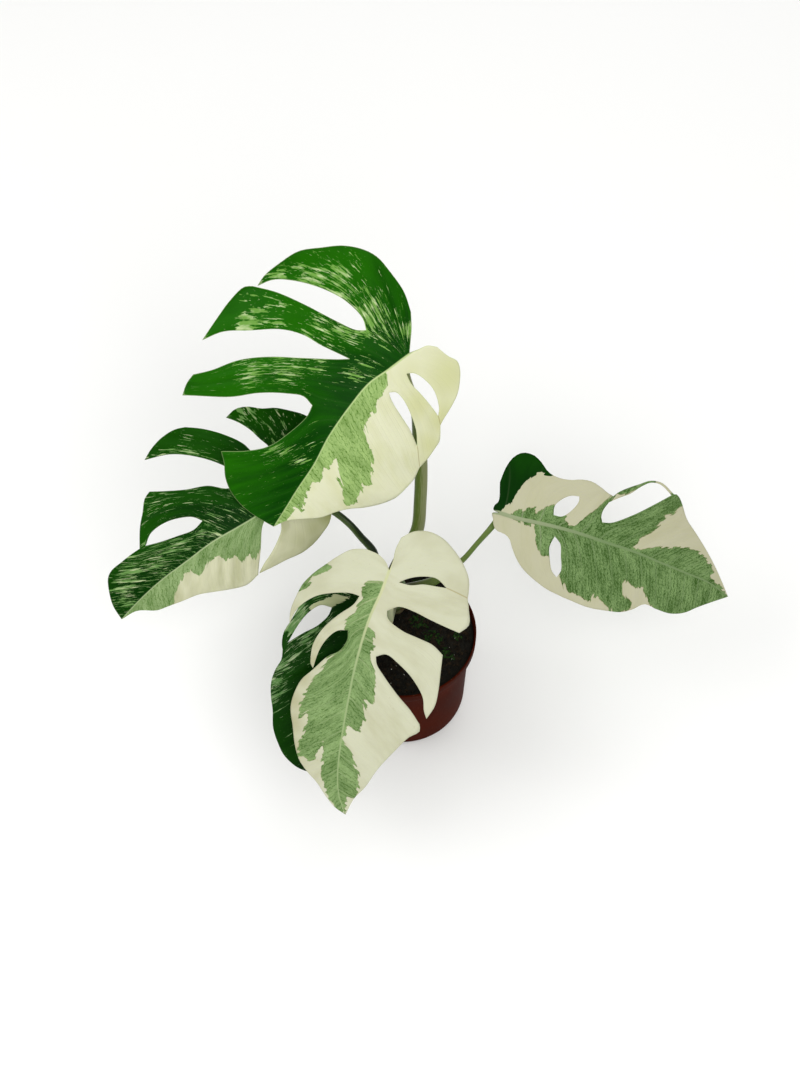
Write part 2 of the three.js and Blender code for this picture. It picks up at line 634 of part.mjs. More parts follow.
// A blade: the same triangles on its two faces, a wall around every edge, and the midrib raised below
function bladeGeometry(leaf) {
  const flat = [];
  const known = new Map();
  const vertexAt = (u, v) => {
    const key = `${Math.round(u * 1e3)},${Math.round(v * 1e3)}`;
    if (!known.has(key)) {
      known.set(key, flat.length);
      flat.push([u, v]);
    }
    return known.get(key);
  };
  const faces = [];
  const areaOf = (...corners) => {
    const [p, q, r] = corners.map((id) => flat[id]);
    return (q[0] - p[0]) * (r[1] - p[1]) - (r[0] - p[0]) * (q[1] - p[1]);
  };
  const addFace = (a, b, c) => {
    if (a !== b && b !== c && c !== a) faces.push([a, b, c]);
  };
  // Of the two ways to split a cell, the one whose smaller triangle is the larger
  const addCell = (a, b, c, d) => {
    const oneWay = Math.min(areaOf(a, b, c), areaOf(a, c, d));
    const otherWay = Math.min(areaOf(a, b, d), areaOf(b, c, d));
    const corners = new Set([a, b, c, d]).size;
    if (corners === 4 && otherWay > oneWay + 1e-6) {
      addFace(a, b, d);
      addFace(b, c, d);
    } else {
      addFace(a, b, c);
      addFace(a, c, d);
    }
  };
  const stations = stationsOf(leaf);
  for (const [half, sign] of [[leaf.left, 1], [leaf.right, -1]]) {
    const straps = half.slots.filter((slot) => slot.strap).map((slot) => strapColumns(slot.strap));
    for (const columns of [...halfLobes(leaf, half, sign, stations), ...straps]) {
      const ids = columns.map((column) => column.map((p) => vertexAt(p.x, sign * p.y)));
      for (let i = 0; i + 1 < ids.length; i++) {
        for (let row = 0; row + 1 < ids[i].length; row++) {
          const [a, b] = [ids[i][row], ids[i + 1][row]];
          const [d, c] = [ids[i][row + 1], ids[i + 1][row + 1]];
          if (sign > 0) addCell(a, b, c, d);
          else addCell(b, a, d, c);
        }
      }
    }
  }

  const count = flat.length;
  const positions = new Float32Array(count * 6);
  flat.forEach(([u, v], i) => {
    const point = bent(leaf, u, v);
    const normal = bladeNormal(leaf, u, v);
    const ridge = onMidrib(leaf, u, v) ? ridgeAt(leaf, u) : 0;
    point.clone().addScaledVector(normal, BLADE_THICKNESS / 2).toArray(positions, i * 3);
    point.addScaledVector(normal, -BLADE_THICKNESS / 2 - ridge).toArray(positions, (count + i) * 3);
  });

  const index = [];
  const open = new Map();
  for (const [a, b, c] of faces) {
    index.push(a, b, c, a + count, c + count, b + count);
    for (const [from, to] of [[a, b], [b, c], [c, a]]) {
      const twin = `${to},${from}`;
      if (open.has(twin)) open.delete(twin);
      else open.set(`${from},${to}`, [from, to]);
    }
  }
  for (const [from, to] of open.values()) {
    index.push(from, from + count, to + count, from, to + count, to);
  }
  const geometry = new THREE.BufferGeometry();
  geometry.setAttribute("position", new THREE.BufferAttribute(positions, 3));
  geometry.setIndex(index);
  geometry.computeVertexNormals();
  return geometry;
}

// A round limb along a smooth route, its radius changing from point to point, closed at both ends
function limbGeometry(route, radii, sides = 10, step = 5) {
  const curve = new THREE.CatmullRomCurve3(route, false, "centripetal");
  const rings = Math.ceil(curve.getLength() / step);
  const frames = curve.computeFrenetFrames(rings, false);
  const positions = [];
  const index = [];
  for (let ring = 0; ring <= rings; ring++) {
    const t = ring / rings;
    const centre = curve.getPointAt(t);
    const place = curve.getUtoTmapping(t) * (radii.length - 1);
    const before = Math.min(Math.floor(place), radii.length - 2);
    const radius = THREE.MathUtils.lerp(radii[before], radii[before + 1], place - before);
    for (let i = 0; i < sides; i++) {
      const angle = (i / sides) * 2 * Math.PI;
      const point = centre.clone();
      point.addScaledVector(frames.normals[ring], radius * Math.cos(angle));
      point.addScaledVector(frames.binormals[ring], radius * Math.sin(angle));
      positions.push(...point.toArray());
    }
  }
  const vertex = (ring, i) => ring * sides + (i % sides);
  for (let ring = 0; ring < rings; ring++) {
    for (let i = 0; i < sides; i++) {
      index.push(vertex(ring, i), vertex(ring, i + 1), vertex(ring + 1, i + 1));
      index.push(vertex(ring, i), vertex(ring + 1, i + 1), vertex(ring + 1, i));
    }
  }
  for (let i = 1; i + 1 < sides; i++) {
    index.push(vertex(0, 0), vertex(0, i + 1), vertex(0, i));
    index.push(vertex(rings, 0), vertex(rings, i), vertex(rings, i + 1));
  }
  const geometry = new THREE.BufferGeometry();
  geometry.setAttribute("position", new THREE.Float32BufferAttribute(positions, 3));
  geometry.setIndex(index);
  return geometry;
}

// A petiole: out of the stem, along its route and up square to the midrib's underside
function petioleSolid(petiole, leaf) {
  const { normal } = midrib(leaf, JOINT_AT);
  const point = bent(leaf, JOINT_AT, bowAt(leaf, JOINT_AT));
  const below = BLADE_THICKNESS / 2 + ridgeAt(leaf, JOINT_AT) + GAP;
  const end = point.clone().addScaledVector(normal, -below);
  const rise = [12, 6, 0].map((down) => end.clone().addScaledVector(normal, -down));
  const route = petiole.route.map((p) => new THREE.Vector3(...p));
  return solidOf(limbGeometry([...route, ...rise], petiole.radii)).subtract(stemSolid(GAP));
}

const plant = new THREE.Group();
plant.add(named("pot", geometryOf(potShell()), 0x6e2f22, 0.45));
plant.add(named("soil", geometryOf(soilSolid()), 0x1c1611, 0.95));
plant.add(named("stem", geometryOf(stemSolid(0)), 0x5d7340, 0.6));
for (const [name, leaf] of Object.entries(LEAVES)) {
  const petiole = PETIOLES[name];
  plant.add(named(`petiole_${name}`, geometryOf(petioleSolid(petiole, leaf)), petiole.color, 0.5));
  plant.add(named(`leaf_${name}`, bladeGeometry(leaf), leaf.color, 0.4));
}

export default plant;
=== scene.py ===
# A variegated monstera in a nursery pot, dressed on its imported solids. It is built in metres, from sizes and
# tables in millimetres.
import functools
import math
import bpy
import numpy as np
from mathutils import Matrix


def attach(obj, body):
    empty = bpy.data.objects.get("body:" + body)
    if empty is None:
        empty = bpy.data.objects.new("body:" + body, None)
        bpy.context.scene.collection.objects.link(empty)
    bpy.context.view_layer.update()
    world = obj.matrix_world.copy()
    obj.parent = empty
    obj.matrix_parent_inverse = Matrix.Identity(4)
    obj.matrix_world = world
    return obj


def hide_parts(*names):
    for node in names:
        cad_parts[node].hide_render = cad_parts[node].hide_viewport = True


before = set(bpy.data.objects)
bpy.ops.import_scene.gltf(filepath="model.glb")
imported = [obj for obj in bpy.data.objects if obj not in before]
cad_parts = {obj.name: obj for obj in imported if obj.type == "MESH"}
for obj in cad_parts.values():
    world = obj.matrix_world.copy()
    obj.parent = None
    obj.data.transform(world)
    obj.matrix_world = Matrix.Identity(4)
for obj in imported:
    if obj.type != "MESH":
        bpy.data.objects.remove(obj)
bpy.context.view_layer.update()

# WHERE THE PLANT STANDS
# A pale, seamless table top. The camera looks down on the plant from in front of it, level from side to
# side, and three soft lamps and an even sky light it as in a small studio.
camera = bpy.data.objects.new("camera", bpy.data.cameras.new("camera"))
camera.data.lens = 55
camera.data.clip_end = 50
camera.location = (-0.002, -0.632, 1.2646)
camera.rotation_euler = (math.radians(32), 0, 0)
bpy.context.scene.collection.objects.link(camera)
bpy.context.scene.camera = camera
bpy.context.scene.view_settings.view_transform = "Standard"


def colour(red, green, blue):
    """An sRGB colour from 0 to 255 as Blender's linear one."""
    channels = [c / 255 for c in (red, green, blue)]
    return [c / 12.92 if c < 0.04045 else ((c + 0.055) / 1.055) ** 2.4 for c in channels] + [1]


def fed(node, inputs):
    """Gives a node's inputs numbers, colours or other nodes' outputs."""
    for socket, value in inputs.items():
        if isinstance(value, bpy.types.NodeSocket):
            node.id_data.links.new(value, node.inputs[socket])
        else:
            node.inputs[socket].default_value = value
    return node


def add_node(tree, kind, inputs=(), **settings):
    """Adds a node to a tree, with its settings and inputs, and gives back its outputs."""
    node = tree.nodes.new(kind if "Node" in kind else "ShaderNode" + kind)
    for label, value in settings.items():
        setattr(node, label, value)
    return fed(node, dict(inputs)).outputs


def mixed(tree, share, low, high):
    """A colour between two others."""
    return add_node(tree, "Mix", {"Factor": share, "A": low, "B": high}, data_type="RGBA")["Result"]


def paint(name, roughness):
    """A new material with its node tree and its shader."""
    material = bpy.data.materials.new(name)
    material.use_nodes = True
    tree = material.node_tree
    return material, tree, fed(tree.nodes["Principled BSDF"], {"Roughness": roughness})


def mesh_object(name, points, faces, material, smooth=True):
    """An object made of points in metres and faces, in one material."""
    mesh = bpy.data.meshes.new(name)
    mesh.from_pydata(np.asarray(points).tolist(), [], faces)
    mesh.update()
    mesh.polygons.foreach_set("use_smooth", [smooth] * len(mesh.polygons))
    mesh.materials.append(material)
    made = bpy.data.objects.new(name, mesh)
    bpy.context.scene.collection.objects.link(made)
    return made


table_paint, tree, shader = paint("table_top", 0.9)
grain = add_node(tree, "TexNoise", {"Scale": 3})
tint = mixed(tree, grain["Fac"], colour(246, 246, 244), colour(250, 250, 249))
fed(shader, {"Specular IOR Level": 0.1, "Base Color": tint})
corners = [(-6, -6, 0), (6, -6, 0), (6, 6, 0), (-6, 6, 0)]
mesh_object("table_top", corners, [(0, 1, 2, 3)], table_paint)

sky = bpy.data.worlds.new("studio")
sky.use_nodes = True
fed(sky.node_tree.nodes["Background"], {"Color": (1, 1, 1, 1), "Strength": 0.55})
bpy.context.scene.world = sky
for name, place, size, power in (
    ("lamp_front", (0.5, -1.4, 1.9), 1.6, 27),
    ("lamp_left", (-1.4, -0.1, 1.7), 1.4, 15),
    ("lamp_back", (0.6, 1.4, 1.8), 1.5, 9),
):
    lamp = bpy.data.objects.new(name, bpy.data.lights.new(name, "AREA"))
    lamp.data.size = size
    lamp.data.energy = power
    lamp.location = place
    x, y, z = np.array([0, 0.05, 0.2]) - np.array(place)
    lamp.rotation_euler = (math.atan2(math.hypot(x, y), -z), 0, math.atan2(y, x) - math.pi / 2)
    bpy.context.scene.collection.objects.link(lamp)

# POT
# A 12 cm nursery pot, blow-moulded from thin red-brown plastic in one piece: a flat base with drain
# holes, a wall that widens a little upwards and a lip that is stepped out and rounded over.
POT_HEIGHT = 104
RIM_RADIUS = 60
BASE_RADIUS = 53
WALL = 1.3
LIP_BOTTOM = POT_HEIGHT - 11
WALL_TOP = RIM_RADIUS - 5
DRAIN_HOLES = 6
DRAIN_RADIUS = 4
DRAIN_CIRCLE = 34


def walls(at, rings, sides):
    """The faces between rings of points, where at tells a point's number from its ring and its place."""
    return [(at(r, i), at(r, i + 1), at(r + 1, i + 1), at(r + 1, i)) for r in rings for i in range(sides)]


def turned(profile, sides):
    """Points and faces of a closed profile turned about the z axis, its first and last points on the axis."""
    profile = np.asarray(profile, float)
    angles = np.arange(sides) * 2 * np.pi / sides
    ring = np.stack([np.cos(angles), np.sin(angles)], 1)
    middle = profile[1:-1]
    points = [[0, 0, profile[0][1]], [0, 0, profile[-1][1]]]
    for radius, height in middle:
        points += [[radius * x, radius * y, height] for x, y in ring]
    at = lambda ring, i: 2 + ring * sides + i % sides
    last = len(middle) - 1
    foot = [(0, at(0, i + 1), at(0, i)) for i in range(sides)]
    head = [(1, at(last, i), at(last, i + 1)) for i in range(sides)]
    return np.array(points), foot + walls(at, range(last), sides) + head


def between(tree, value, low, high, to_low=0, to_high=1):
    """A value's place between two others, on a scale of its own."""
    given = {"Value": value, "From Min": low, "From Max": high, "To Min": to_low, "To Max": to_high}
    return add_node(tree, "MapRange", given)["Result"]


def bumped(tree, height, distance, strength=1.0):
    """A normal that a height has roughened."""
    return add_node(tree, "Bump", {"Strength": strength, "Distance": distance, "Height": height})["Normal"]


def pattern_group(name, colours, numbers, results):
    """A new node group that turns colours and numbers into a colour and other results."""
    tree = bpy.data.node_groups.new(name, "ShaderNodeTree")
    for labels, kind, way in (
        (colours, "Color", "INPUT"), (numbers, "Float", "INPUT"),
        (["Colour"], "Color", "OUTPUT"), (results, "Float", "OUTPUT"),
    ):
        for label in labels:
            tree.interface.new_socket(label, in_out=way, socket_type="NodeSocket" + kind)
    return tree, add_node(tree, "NodeGroupInput")


def patterned(name, roughness, group, given, depth, relief=1.0):
    """A paint with a node group's colour and relief: its material, tree, group outputs and shader."""
    material, tree, shader = paint(name, roughness)
    pattern = add_node(tree, "Group", given, node_tree=group)
    skin = bumped(tree, pattern["Height"], depth, relief)
    fed(shader, {"Base Color": pattern["Colour"], "Normal": skin})
    return material, tree, pattern, shader


def mottled_colours():
    """The node group of plastic, peat, bark, perlite, moss and cork: noise, and two tones that follow it."""
    tree, given = pattern_group(
        "mottled", ("Dark", "Light"), ("Scale", "Detail", "Coarseness", "Low", "High"), ["Height"])
    noise = add_node(tree, "TexNoise", {
        "Vector": add_node(tree, "TexCoord")["Object"], "Scale": given["Scale"], "Detail": given["Detail"],
        "Roughness": given["Coarseness"],
    })["Fac"]
    tones = mixed(tree, between(tree, noise, given["Low"], given["High"]), given["Dark"], given["Light"])
    add_node(tree, "NodeGroupOutput", {"Colour": tones, "Height": noise})
    return tree


MOTTLED = mottled_colours()


def mottle(scale, detail, coarseness=0.5, low=0, high=1, dark=(0, 0, 0), light=(255, 255, 255)):
    """What the mottled node group is given."""
    return {
        "Scale": scale, "Detail": detail, "Coarseness": coarseness, "Low": low, "High": high,
        "Dark": colour(*dark), "Light": colour(*light),
    }


def finished(made, cad_node):
    """Hands a finished piece over: it rides on the one body and stands for its solid, which is hidden."""
    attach(made, "root")
    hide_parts(cad_node)


def settled(made):
    """Turns a piece with its modifiers into a plain mesh, and takes the modifiers off."""
    bpy.context.view_layer.update()
    mesh = bpy.data.meshes.new_from_object(made.evaluated_get(bpy.context.evaluated_depsgraph_get()))
    made.modifiers.clear()
    made.data = mesh


pot_paint, tree, shader = paint("red_brown_plastic", 0.5)
cloud = add_node(tree, "Group", mottle(28, 5, 0.5, 0.3, 0.72, (50, 13, 3), (68, 20, 6)), node_tree=MOTTLED)
dust = add_node(tree, "Group", mottle(420, 3), node_tree=MOTTLED)["Height"]
specks = between(tree, dust, 0.66, 0.74, 0, 0.2)
fed(shader, {
    "IOR": 1.06, "Base Color": mixed(tree, specks, cloud["Colour"], colour(138, 104, 86)),
    "Roughness": between(tree, cloud["Height"], 0, 1, 0.42, 0.62), "Normal": bumped(tree, dust, 0.0004, 0.12),
})
pot_profile = [
    (0, 0), (BASE_RADIUS - 4.2, 0), (BASE_RADIUS - 3.2, 0.1), (BASE_RADIUS - 2, 0.6),
    (BASE_RADIUS - 0.9, 1.7), (BASE_RADIUS - 0.3, 3), (BASE_RADIUS, 5), (BASE_RADIUS + 0.5, 26),
    (BASE_RADIUS + 1, 48), (BASE_RADIUS + 1.5, 70), (WALL_TOP - 0.1, LIP_BOTTOM - 1.6),
    (WALL_TOP + 0.3, LIP_BOTTOM - 0.4), (WALL_TOP + 1.2, LIP_BOTTOM), (RIM_RADIUS - 1.6, LIP_BOTTOM + 0.2),
    (RIM_RADIUS - 0.5, LIP_BOTTOM + 0.8), (RIM_RADIUS - 0.1, LIP_BOTTOM + 1.9), (RIM_RADIUS - 0.1, 99.5),
    (RIM_RADIUS, 101.5), (RIM_RADIUS, 103), (RIM_RADIUS - 0.25, 103.7), (RIM_RADIUS - 0.7, POT_HEIGHT),
    (RIM_RADIUS - 1.15, 103.8), (RIM_RADIUS - WALL, 103.2), (RIM_RADIUS - WALL, 101),
    (RIM_RADIUS - WALL - 0.3, LIP_BOTTOM + 2.6), (WALL_TOP - WALL, LIP_BOTTOM + 0.8),
    (BASE_RADIUS - WALL, 5), (BASE_RADIUS - 4, 2), (0, 2),
]
points, faces = turned(pot_profile, 128)
pot = mesh_object("nursery_pot", points / 1000, faces, pot_paint)
drills, drill_faces = [], []
for hole in range(DRAIN_HOLES):
    turn = (hole + 0.5) / DRAIN_HOLES * 2 * math.pi
    tube, tube_faces = turned([(0, -1), (DRAIN_RADIUS, -1), (DRAIN_RADIUS, 4), (0, 4)], 32)
    tube += [DRAIN_CIRCLE * math.cos(turn), DRAIN_CIRCLE * math.sin(turn), 0]
    drill_faces += [tuple(i + len(drills) for i in face) for face in tube_faces]
    drills += tube.tolist()
drill = mesh_object("drill", np.array(drills) / 1000, drill_faces, pot_paint)
cut = pot.modifiers.new("drain_holes", "BOOLEAN")
cut.object = drill
cut.solver = "EXACT"
settled(pot)
bpy.data.objects.remove(drill)
finished(pot, "pot")

# SOIL
# Dark peat pressed into the pot to just below its rim, with an uneven top. Bark chips, a few grains of
# perlite and little cushions of moss lie on it.
SOIL_LEVEL = 97
SOIL_RADIUS = 57
STEM_X, STEM_Y = -7, 27
STEM_CLEAR = 10  # nothing is strewn nearer to the stem
GROUND_CELL = 3.0

peat = mottle(260, 6, 0.7, 0.35, 0.75, (8, 8, 5), (28, 24, 15))
soil_paint, *_, shader = patterned("peat", 0.95, MOTTLED, peat, 0.002, 0.8)
fed(shader, {"Specular IOR Level": 0.2})


def soil_height(x, y):
    """The uneven top of the soil, pulled down to its edge where it meets the wall."""
    broad = np.sin(x * 0.21 + 1) * np.cos(y * 0.17) + 0.6 * np.sin(x * 0.43 - y * 0.38)
    small = 0.5 * np.sin(x * 0.9 + 2 * np.sin(y * 0.31)) * np.cos(y * 0.83 - 1.3)
    fine = 0.28 * np.sin(x * 2.3 + y * 1.1) * np.cos(y * 2.7 - x * 0.6)
    edge = np.clip((SOIL_RADIUS - 0.5 - np.hypot(x, y)) / 5, 0, 1)
    return SOIL_LEVEL + edge * (1.3 * broad + small + fine)


points, faces = turned(
    [(0, 2.4), (48.5, 2.4), (51, 5), (53, LIP_BOTTOM + 1.3), (57.4, LIP_BOTTOM + 3.1), (57.9, 96.6)]
    + [(radius, SOIL_LEVEL) for radius in np.linspace(SOIL_RADIUS, 1.5, 38)]
    + [(0, SOIL_LEVEL)],
    96,
)
top = (points[:, 2] > SOIL_LEVEL - 0.2) & (np.hypot(points[:, 0], points[:, 1]) < SOIL_RADIUS + 0.5)
points[top, 2] = soil_height(points[top, 0], points[top, 1])
finished(mesh_object("soil_filling", points / 1000, faces, soil_paint), "soil")

# The bare top of the soil, on which the loose pieces are strewn
span = np.arange(-54, 55, GROUND_CELL)
wide = len(span)
spots = [(x, y) for y in span for x in span]
ground_points = np.array([(x, y, soil_height(x, y)) for x, y in spots])
inside = [
    math.hypot(x, y) < SOIL_RADIUS - 2 and math.hypot(x - STEM_X, y - STEM_Y) > STEM_CLEAR for x, y in spots
]
cells = walls(lambda row, i: row * wide + i, range(wide - 1), wide - 1)
ground_faces = [cell for cell in cells if all(inside[corner] for corner in cell)]


def strewing_tree():
    """Strews turned and scaled copies of a piece over a surface, with a fixed seed."""
    tree = bpy.data.node_groups.new("strewn", "GeometryNodeTree")
    kinds = {
        "Surface": "Geometry", "Piece": "Object", "Per square metre": "Float", "Smallest": "Float",
        "Largest": "Float", "Seed": "Int", "Tilt": "Float", "Finish": "Material",
    }
    sockets = {
        label: tree.interface.new_socket(label, in_out="INPUT", socket_type="NodeSocket" + kind).identifier
        for label, kind in kinds.items()
    }
    tree.interface.new_socket("Pieces", in_out="OUTPUT", socket_type="NodeSocketGeometry")
    add = functools.partial(add_node, tree)
    given = add("NodeGroupInput")
    seed = given["Seed"]
    points = add("GeometryNodeDistributePointsOnFaces", {
        "Mesh": given["Surface"], "Density": given["Per square metre"], "Seed": seed})["Points"]
    piece = add("GeometryNodeObjectInfo", {"Object": given["Piece"]})["Geometry"]
    size = add("FunctionNodeRandomValue", {2: given["Smallest"], 3: given["Largest"], "Seed": seed})[1]
    back = add("Math", {0: given["Tilt"], 1: -1}, operation="MULTIPLY")[0]
    low = add("CombineXYZ", {"X": back, "Y": back})[0]
    high = add("CombineXYZ", {"X": given["Tilt"], "Y": given["Tilt"], "Z": 6.283})[0]
    turn = add("FunctionNodeRandomValue", {0: low, 1: high, "Seed": seed}, data_type="FLOAT_VECTOR")[0]
    copies = add("GeometryNodeInstanceOnPoints", {
        "Points": points, "Instance": piece, "Rotation": turn, "Scale": size})["Instances"]
    real = add("GeometryNodeRealizeInstances", {"Geometry": copies})[0]
    dressed = add("GeometryNodeSetMaterial", {"Geometry": real, "Material": given["Finish"]})[0]
    add("NodeGroupOutput", {"Pieces": dressed})
    return tree, sockets


strewn, strewn_inputs = strewing_tree()


def strew(name, piece, finish, per_square_metre, smallest, largest, seed, tilt, patches=None):
    """Strews a loose piece over the soil, or over round patches of it."""
    chosen = ground_faces
    if patches:
        middles = [ground_points[list(face)].mean(0) for face in ground_faces]
        near = [any(math.hypot(m[0] - x, m[1] - y) < r for x, y, r in patches) for m in middles]
        chosen = [face for face, kept in zip(ground_faces, near) if kept]
    made = mesh_object(name, ground_points / 1000, chosen, finish, smooth=False)
    layer = made.modifiers.new("strewn", "NODES")
    layer.node_group = strewn
    for label, value in {
        "Piece": piece, "Per square metre": float(per_square_metre), "Smallest": float(smallest),
        "Largest": float(largest), "Seed": seed, "Tilt": float(tilt), "Finish": finish,
    }.items():
        layer[strewn_inputs[label]] = value
    settled(made)
    bpy.data.objects.remove(piece)
    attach(made, "root")


def pebble(name, length, width, height, sharpness, seed):
    """A small rough lump of a few dozen faces, lying flat."""
    random = np.random.default_rng(seed)
    rings, around = 4, 7
    points = [(0, 0, -height / 2)]
    for ring in range(1, rings):
        tilt = math.pi * ring / rings
        for i in range(around):
            turn = 2 * math.pi * (i + 0.5 * (ring % 2)) / around
            reach = 1 + sharpness * random.uniform(-1, 1)
            points.append((
                length / 2 * reach * math.sin(tilt) * math.cos(turn),
                width / 2 * reach * math.sin(tilt) * math.sin(turn),
                -height / 2 * math.cos(tilt) * (1 + sharpness * random.uniform(-1, 1)),
            ))
    points.append((0, 0, height / 2))
    at = lambda ring, i: 1 + (ring - 1) * around + i % around
    faces = [(0, at(1, i + 1), at(1, i)) for i in range(around)]
    faces += walls(at, range(1, rings - 1), around)
    faces += [(len(points) - 1, at(rings - 1, i), at(rings - 1, i + 1)) for i in range(around)]
    return mesh_object(name, np.array(points) / 1000, faces, soil_paint, smooth=False)


def loose_paint(name, dark, light, roughness, scale):
    """A dull two-tone finish for the loose pieces."""
    given = mottle(scale, 4, 0.5, 0.36, 0.66, dark, light)
    material, *_, shader = patterned(name, roughness, MOTTLED, given, 0.0006)
    fed(shader, {"Specular IOR Level": 0.1})
    return material


bark_paint = loose_paint("bark", (12, 10, 7), (38, 29, 18), 0.9, 300)
perlite_paint = loose_paint("perlite", (176, 174, 164), (232, 230, 222), 0.8, 500)
moss_paint = loose_paint("moss", (14, 30, 8), (38, 68, 22), 0.85, 300)
MOSS_PATCHES = [
    (22, -1, 5), (28, -4, 4), (38, -21, 3), (35, -17, 4), (12, 12, 5), (17, 8, 3), (-37, 14, 6), (-31, 18, 4),
    (12, 45, 5), (17, 43, 3), (-20, -42, 5), (-15, -44, 3), (46, -4, 3), (43, 0, 2),
]
strew("bark_chips", pebble("chip", 4.6, 2.4, 1.2, 0.32, 3), bark_paint, 90000, 0.5, 1.5, 11, 0.35)
strew("peat_crumbs", pebble("crumb", 1.9, 1.5, 1.1, 0.35, 5), soil_paint, 150000, 0.5, 1.4, 12, 1.2)
strew("perlite_grains", pebble("grain", 1.7, 1.5, 1.2, 0.22, 7), perlite_paint, 8000, 0.3, 0.9, 17, 1.2)
tuft = pebble("tuft", 1.5, 1.3, 1.4, 0.4, 9)
strew("moss_cushions", tuft, moss_paint, 600000, 0.7, 1.7, 23, 1.2, MOSS_PATCHES)

# STEM
# The short thick stem stands in the soil, in a bare patch where nothing is strewn. It is ringed by the
# scars of old leaves and is green above, turning brown and corky towards the soil.
LEAF_SCARS = (99, 106.5, 114, 121.5, 129)

stem_skin, tree, shader = paint("stem_skin", 0.6)
cork = add_node(tree, "Group", mottle(160, 5), node_tree=MOTTLED)["Height"]
height = add_node(tree, "SeparateXYZ", {"Vector": add_node(tree, "TexCoord")["Object"]})["Z"]
rise = between(tree, height, 0.097, 0.128)
green_share = between(tree, add_node(tree, "Math", {0: rise, 1: cork}, operation="ADD")[0], 0.45, 1)
fed(shader, {
    "Base Color": mixed(tree, green_share, colour(74, 58, 36), colour(70, 98, 40)),
    "Normal": bumped(tree, cork, 0.001),
})
stem_profile = [(0, 60), (5.5, 60), (8, 65), (9, 78), (9, 96)]
for scar in LEAF_SCARS:
    stem_profile += [(8.8, scar - 2.4), (9.2, scar - 1), (9.7, scar - 0.2)]
    stem_profile += [(9.2, scar + 0.5), (8.6, scar + 1.4)]
stem_profile += [(8, 133), (7.2, 136), (5.5, 137.6), (3, 138), (0, 138)]
points, faces = turned(stem_profile, 48)
turn = np.arctan2(points[:, 1], points[:, 0])
swell = 1 + 0.03 * np.sin(3 * turn + points[:, 2] * 0.21) + 0.015 * np.sin(7 * turn - points[:, 2] * 0.5)
points[:, :2] *= swell[:, None]
points += [STEM_X, STEM_Y, 0]
finished(mesh_object("stem_with_scars", points / 1000, faces, stem_skin), "stem")

# LEAF BLADES
# Five thin, leathery blades, each cut through by slots and holes between its side veins. Cream, grey-green
# and dark green areas meet in jagged steps that follow the veins, and the greens are streaked with cream.
BLADE_HALF = 0.26  # half the blade's thickness away from its edges
EDGE_HALF, EDGE_SLOPE = 0.1, 0.1
RIDGE_AT_BASE, RIDGE_AT_TIP = 2.2, 0.6
RIDGE_WIDTH_AT_TIP, RIDGE_WIDENING = 0.6, 1.1
RIB_GROOVE = 0.12  # how deep the midrib lies on top where it isn't raised
RIDGE_ON_TOP = {"right": 0.9, "front": 0.3}
QUILTING = 0.42  # how far the blade swells between its side veins
QUILT_START, QUILT_RISE, QUILT_EDGE = 4, 22, 6
VEIN_GAP_AT_RIB, VEIN_GAP_AT_RIM = 15, 36
RIPPLE_SLANT, RIPPLE_FULL, RIPPLE_MOST = 0.35, 60, 1.4  # how the waves grow towards the rim
ROWS = 46
COLUMN_STEP = 3.6
RIB_ROWS = (0.7, 1.6, 3.0)  # the first rows' distances from the midrib
RELAXING, RELAXING_QUICK = 400, 60
FAR_INSIDE = 30.0  # a zone's depth is told no further than this
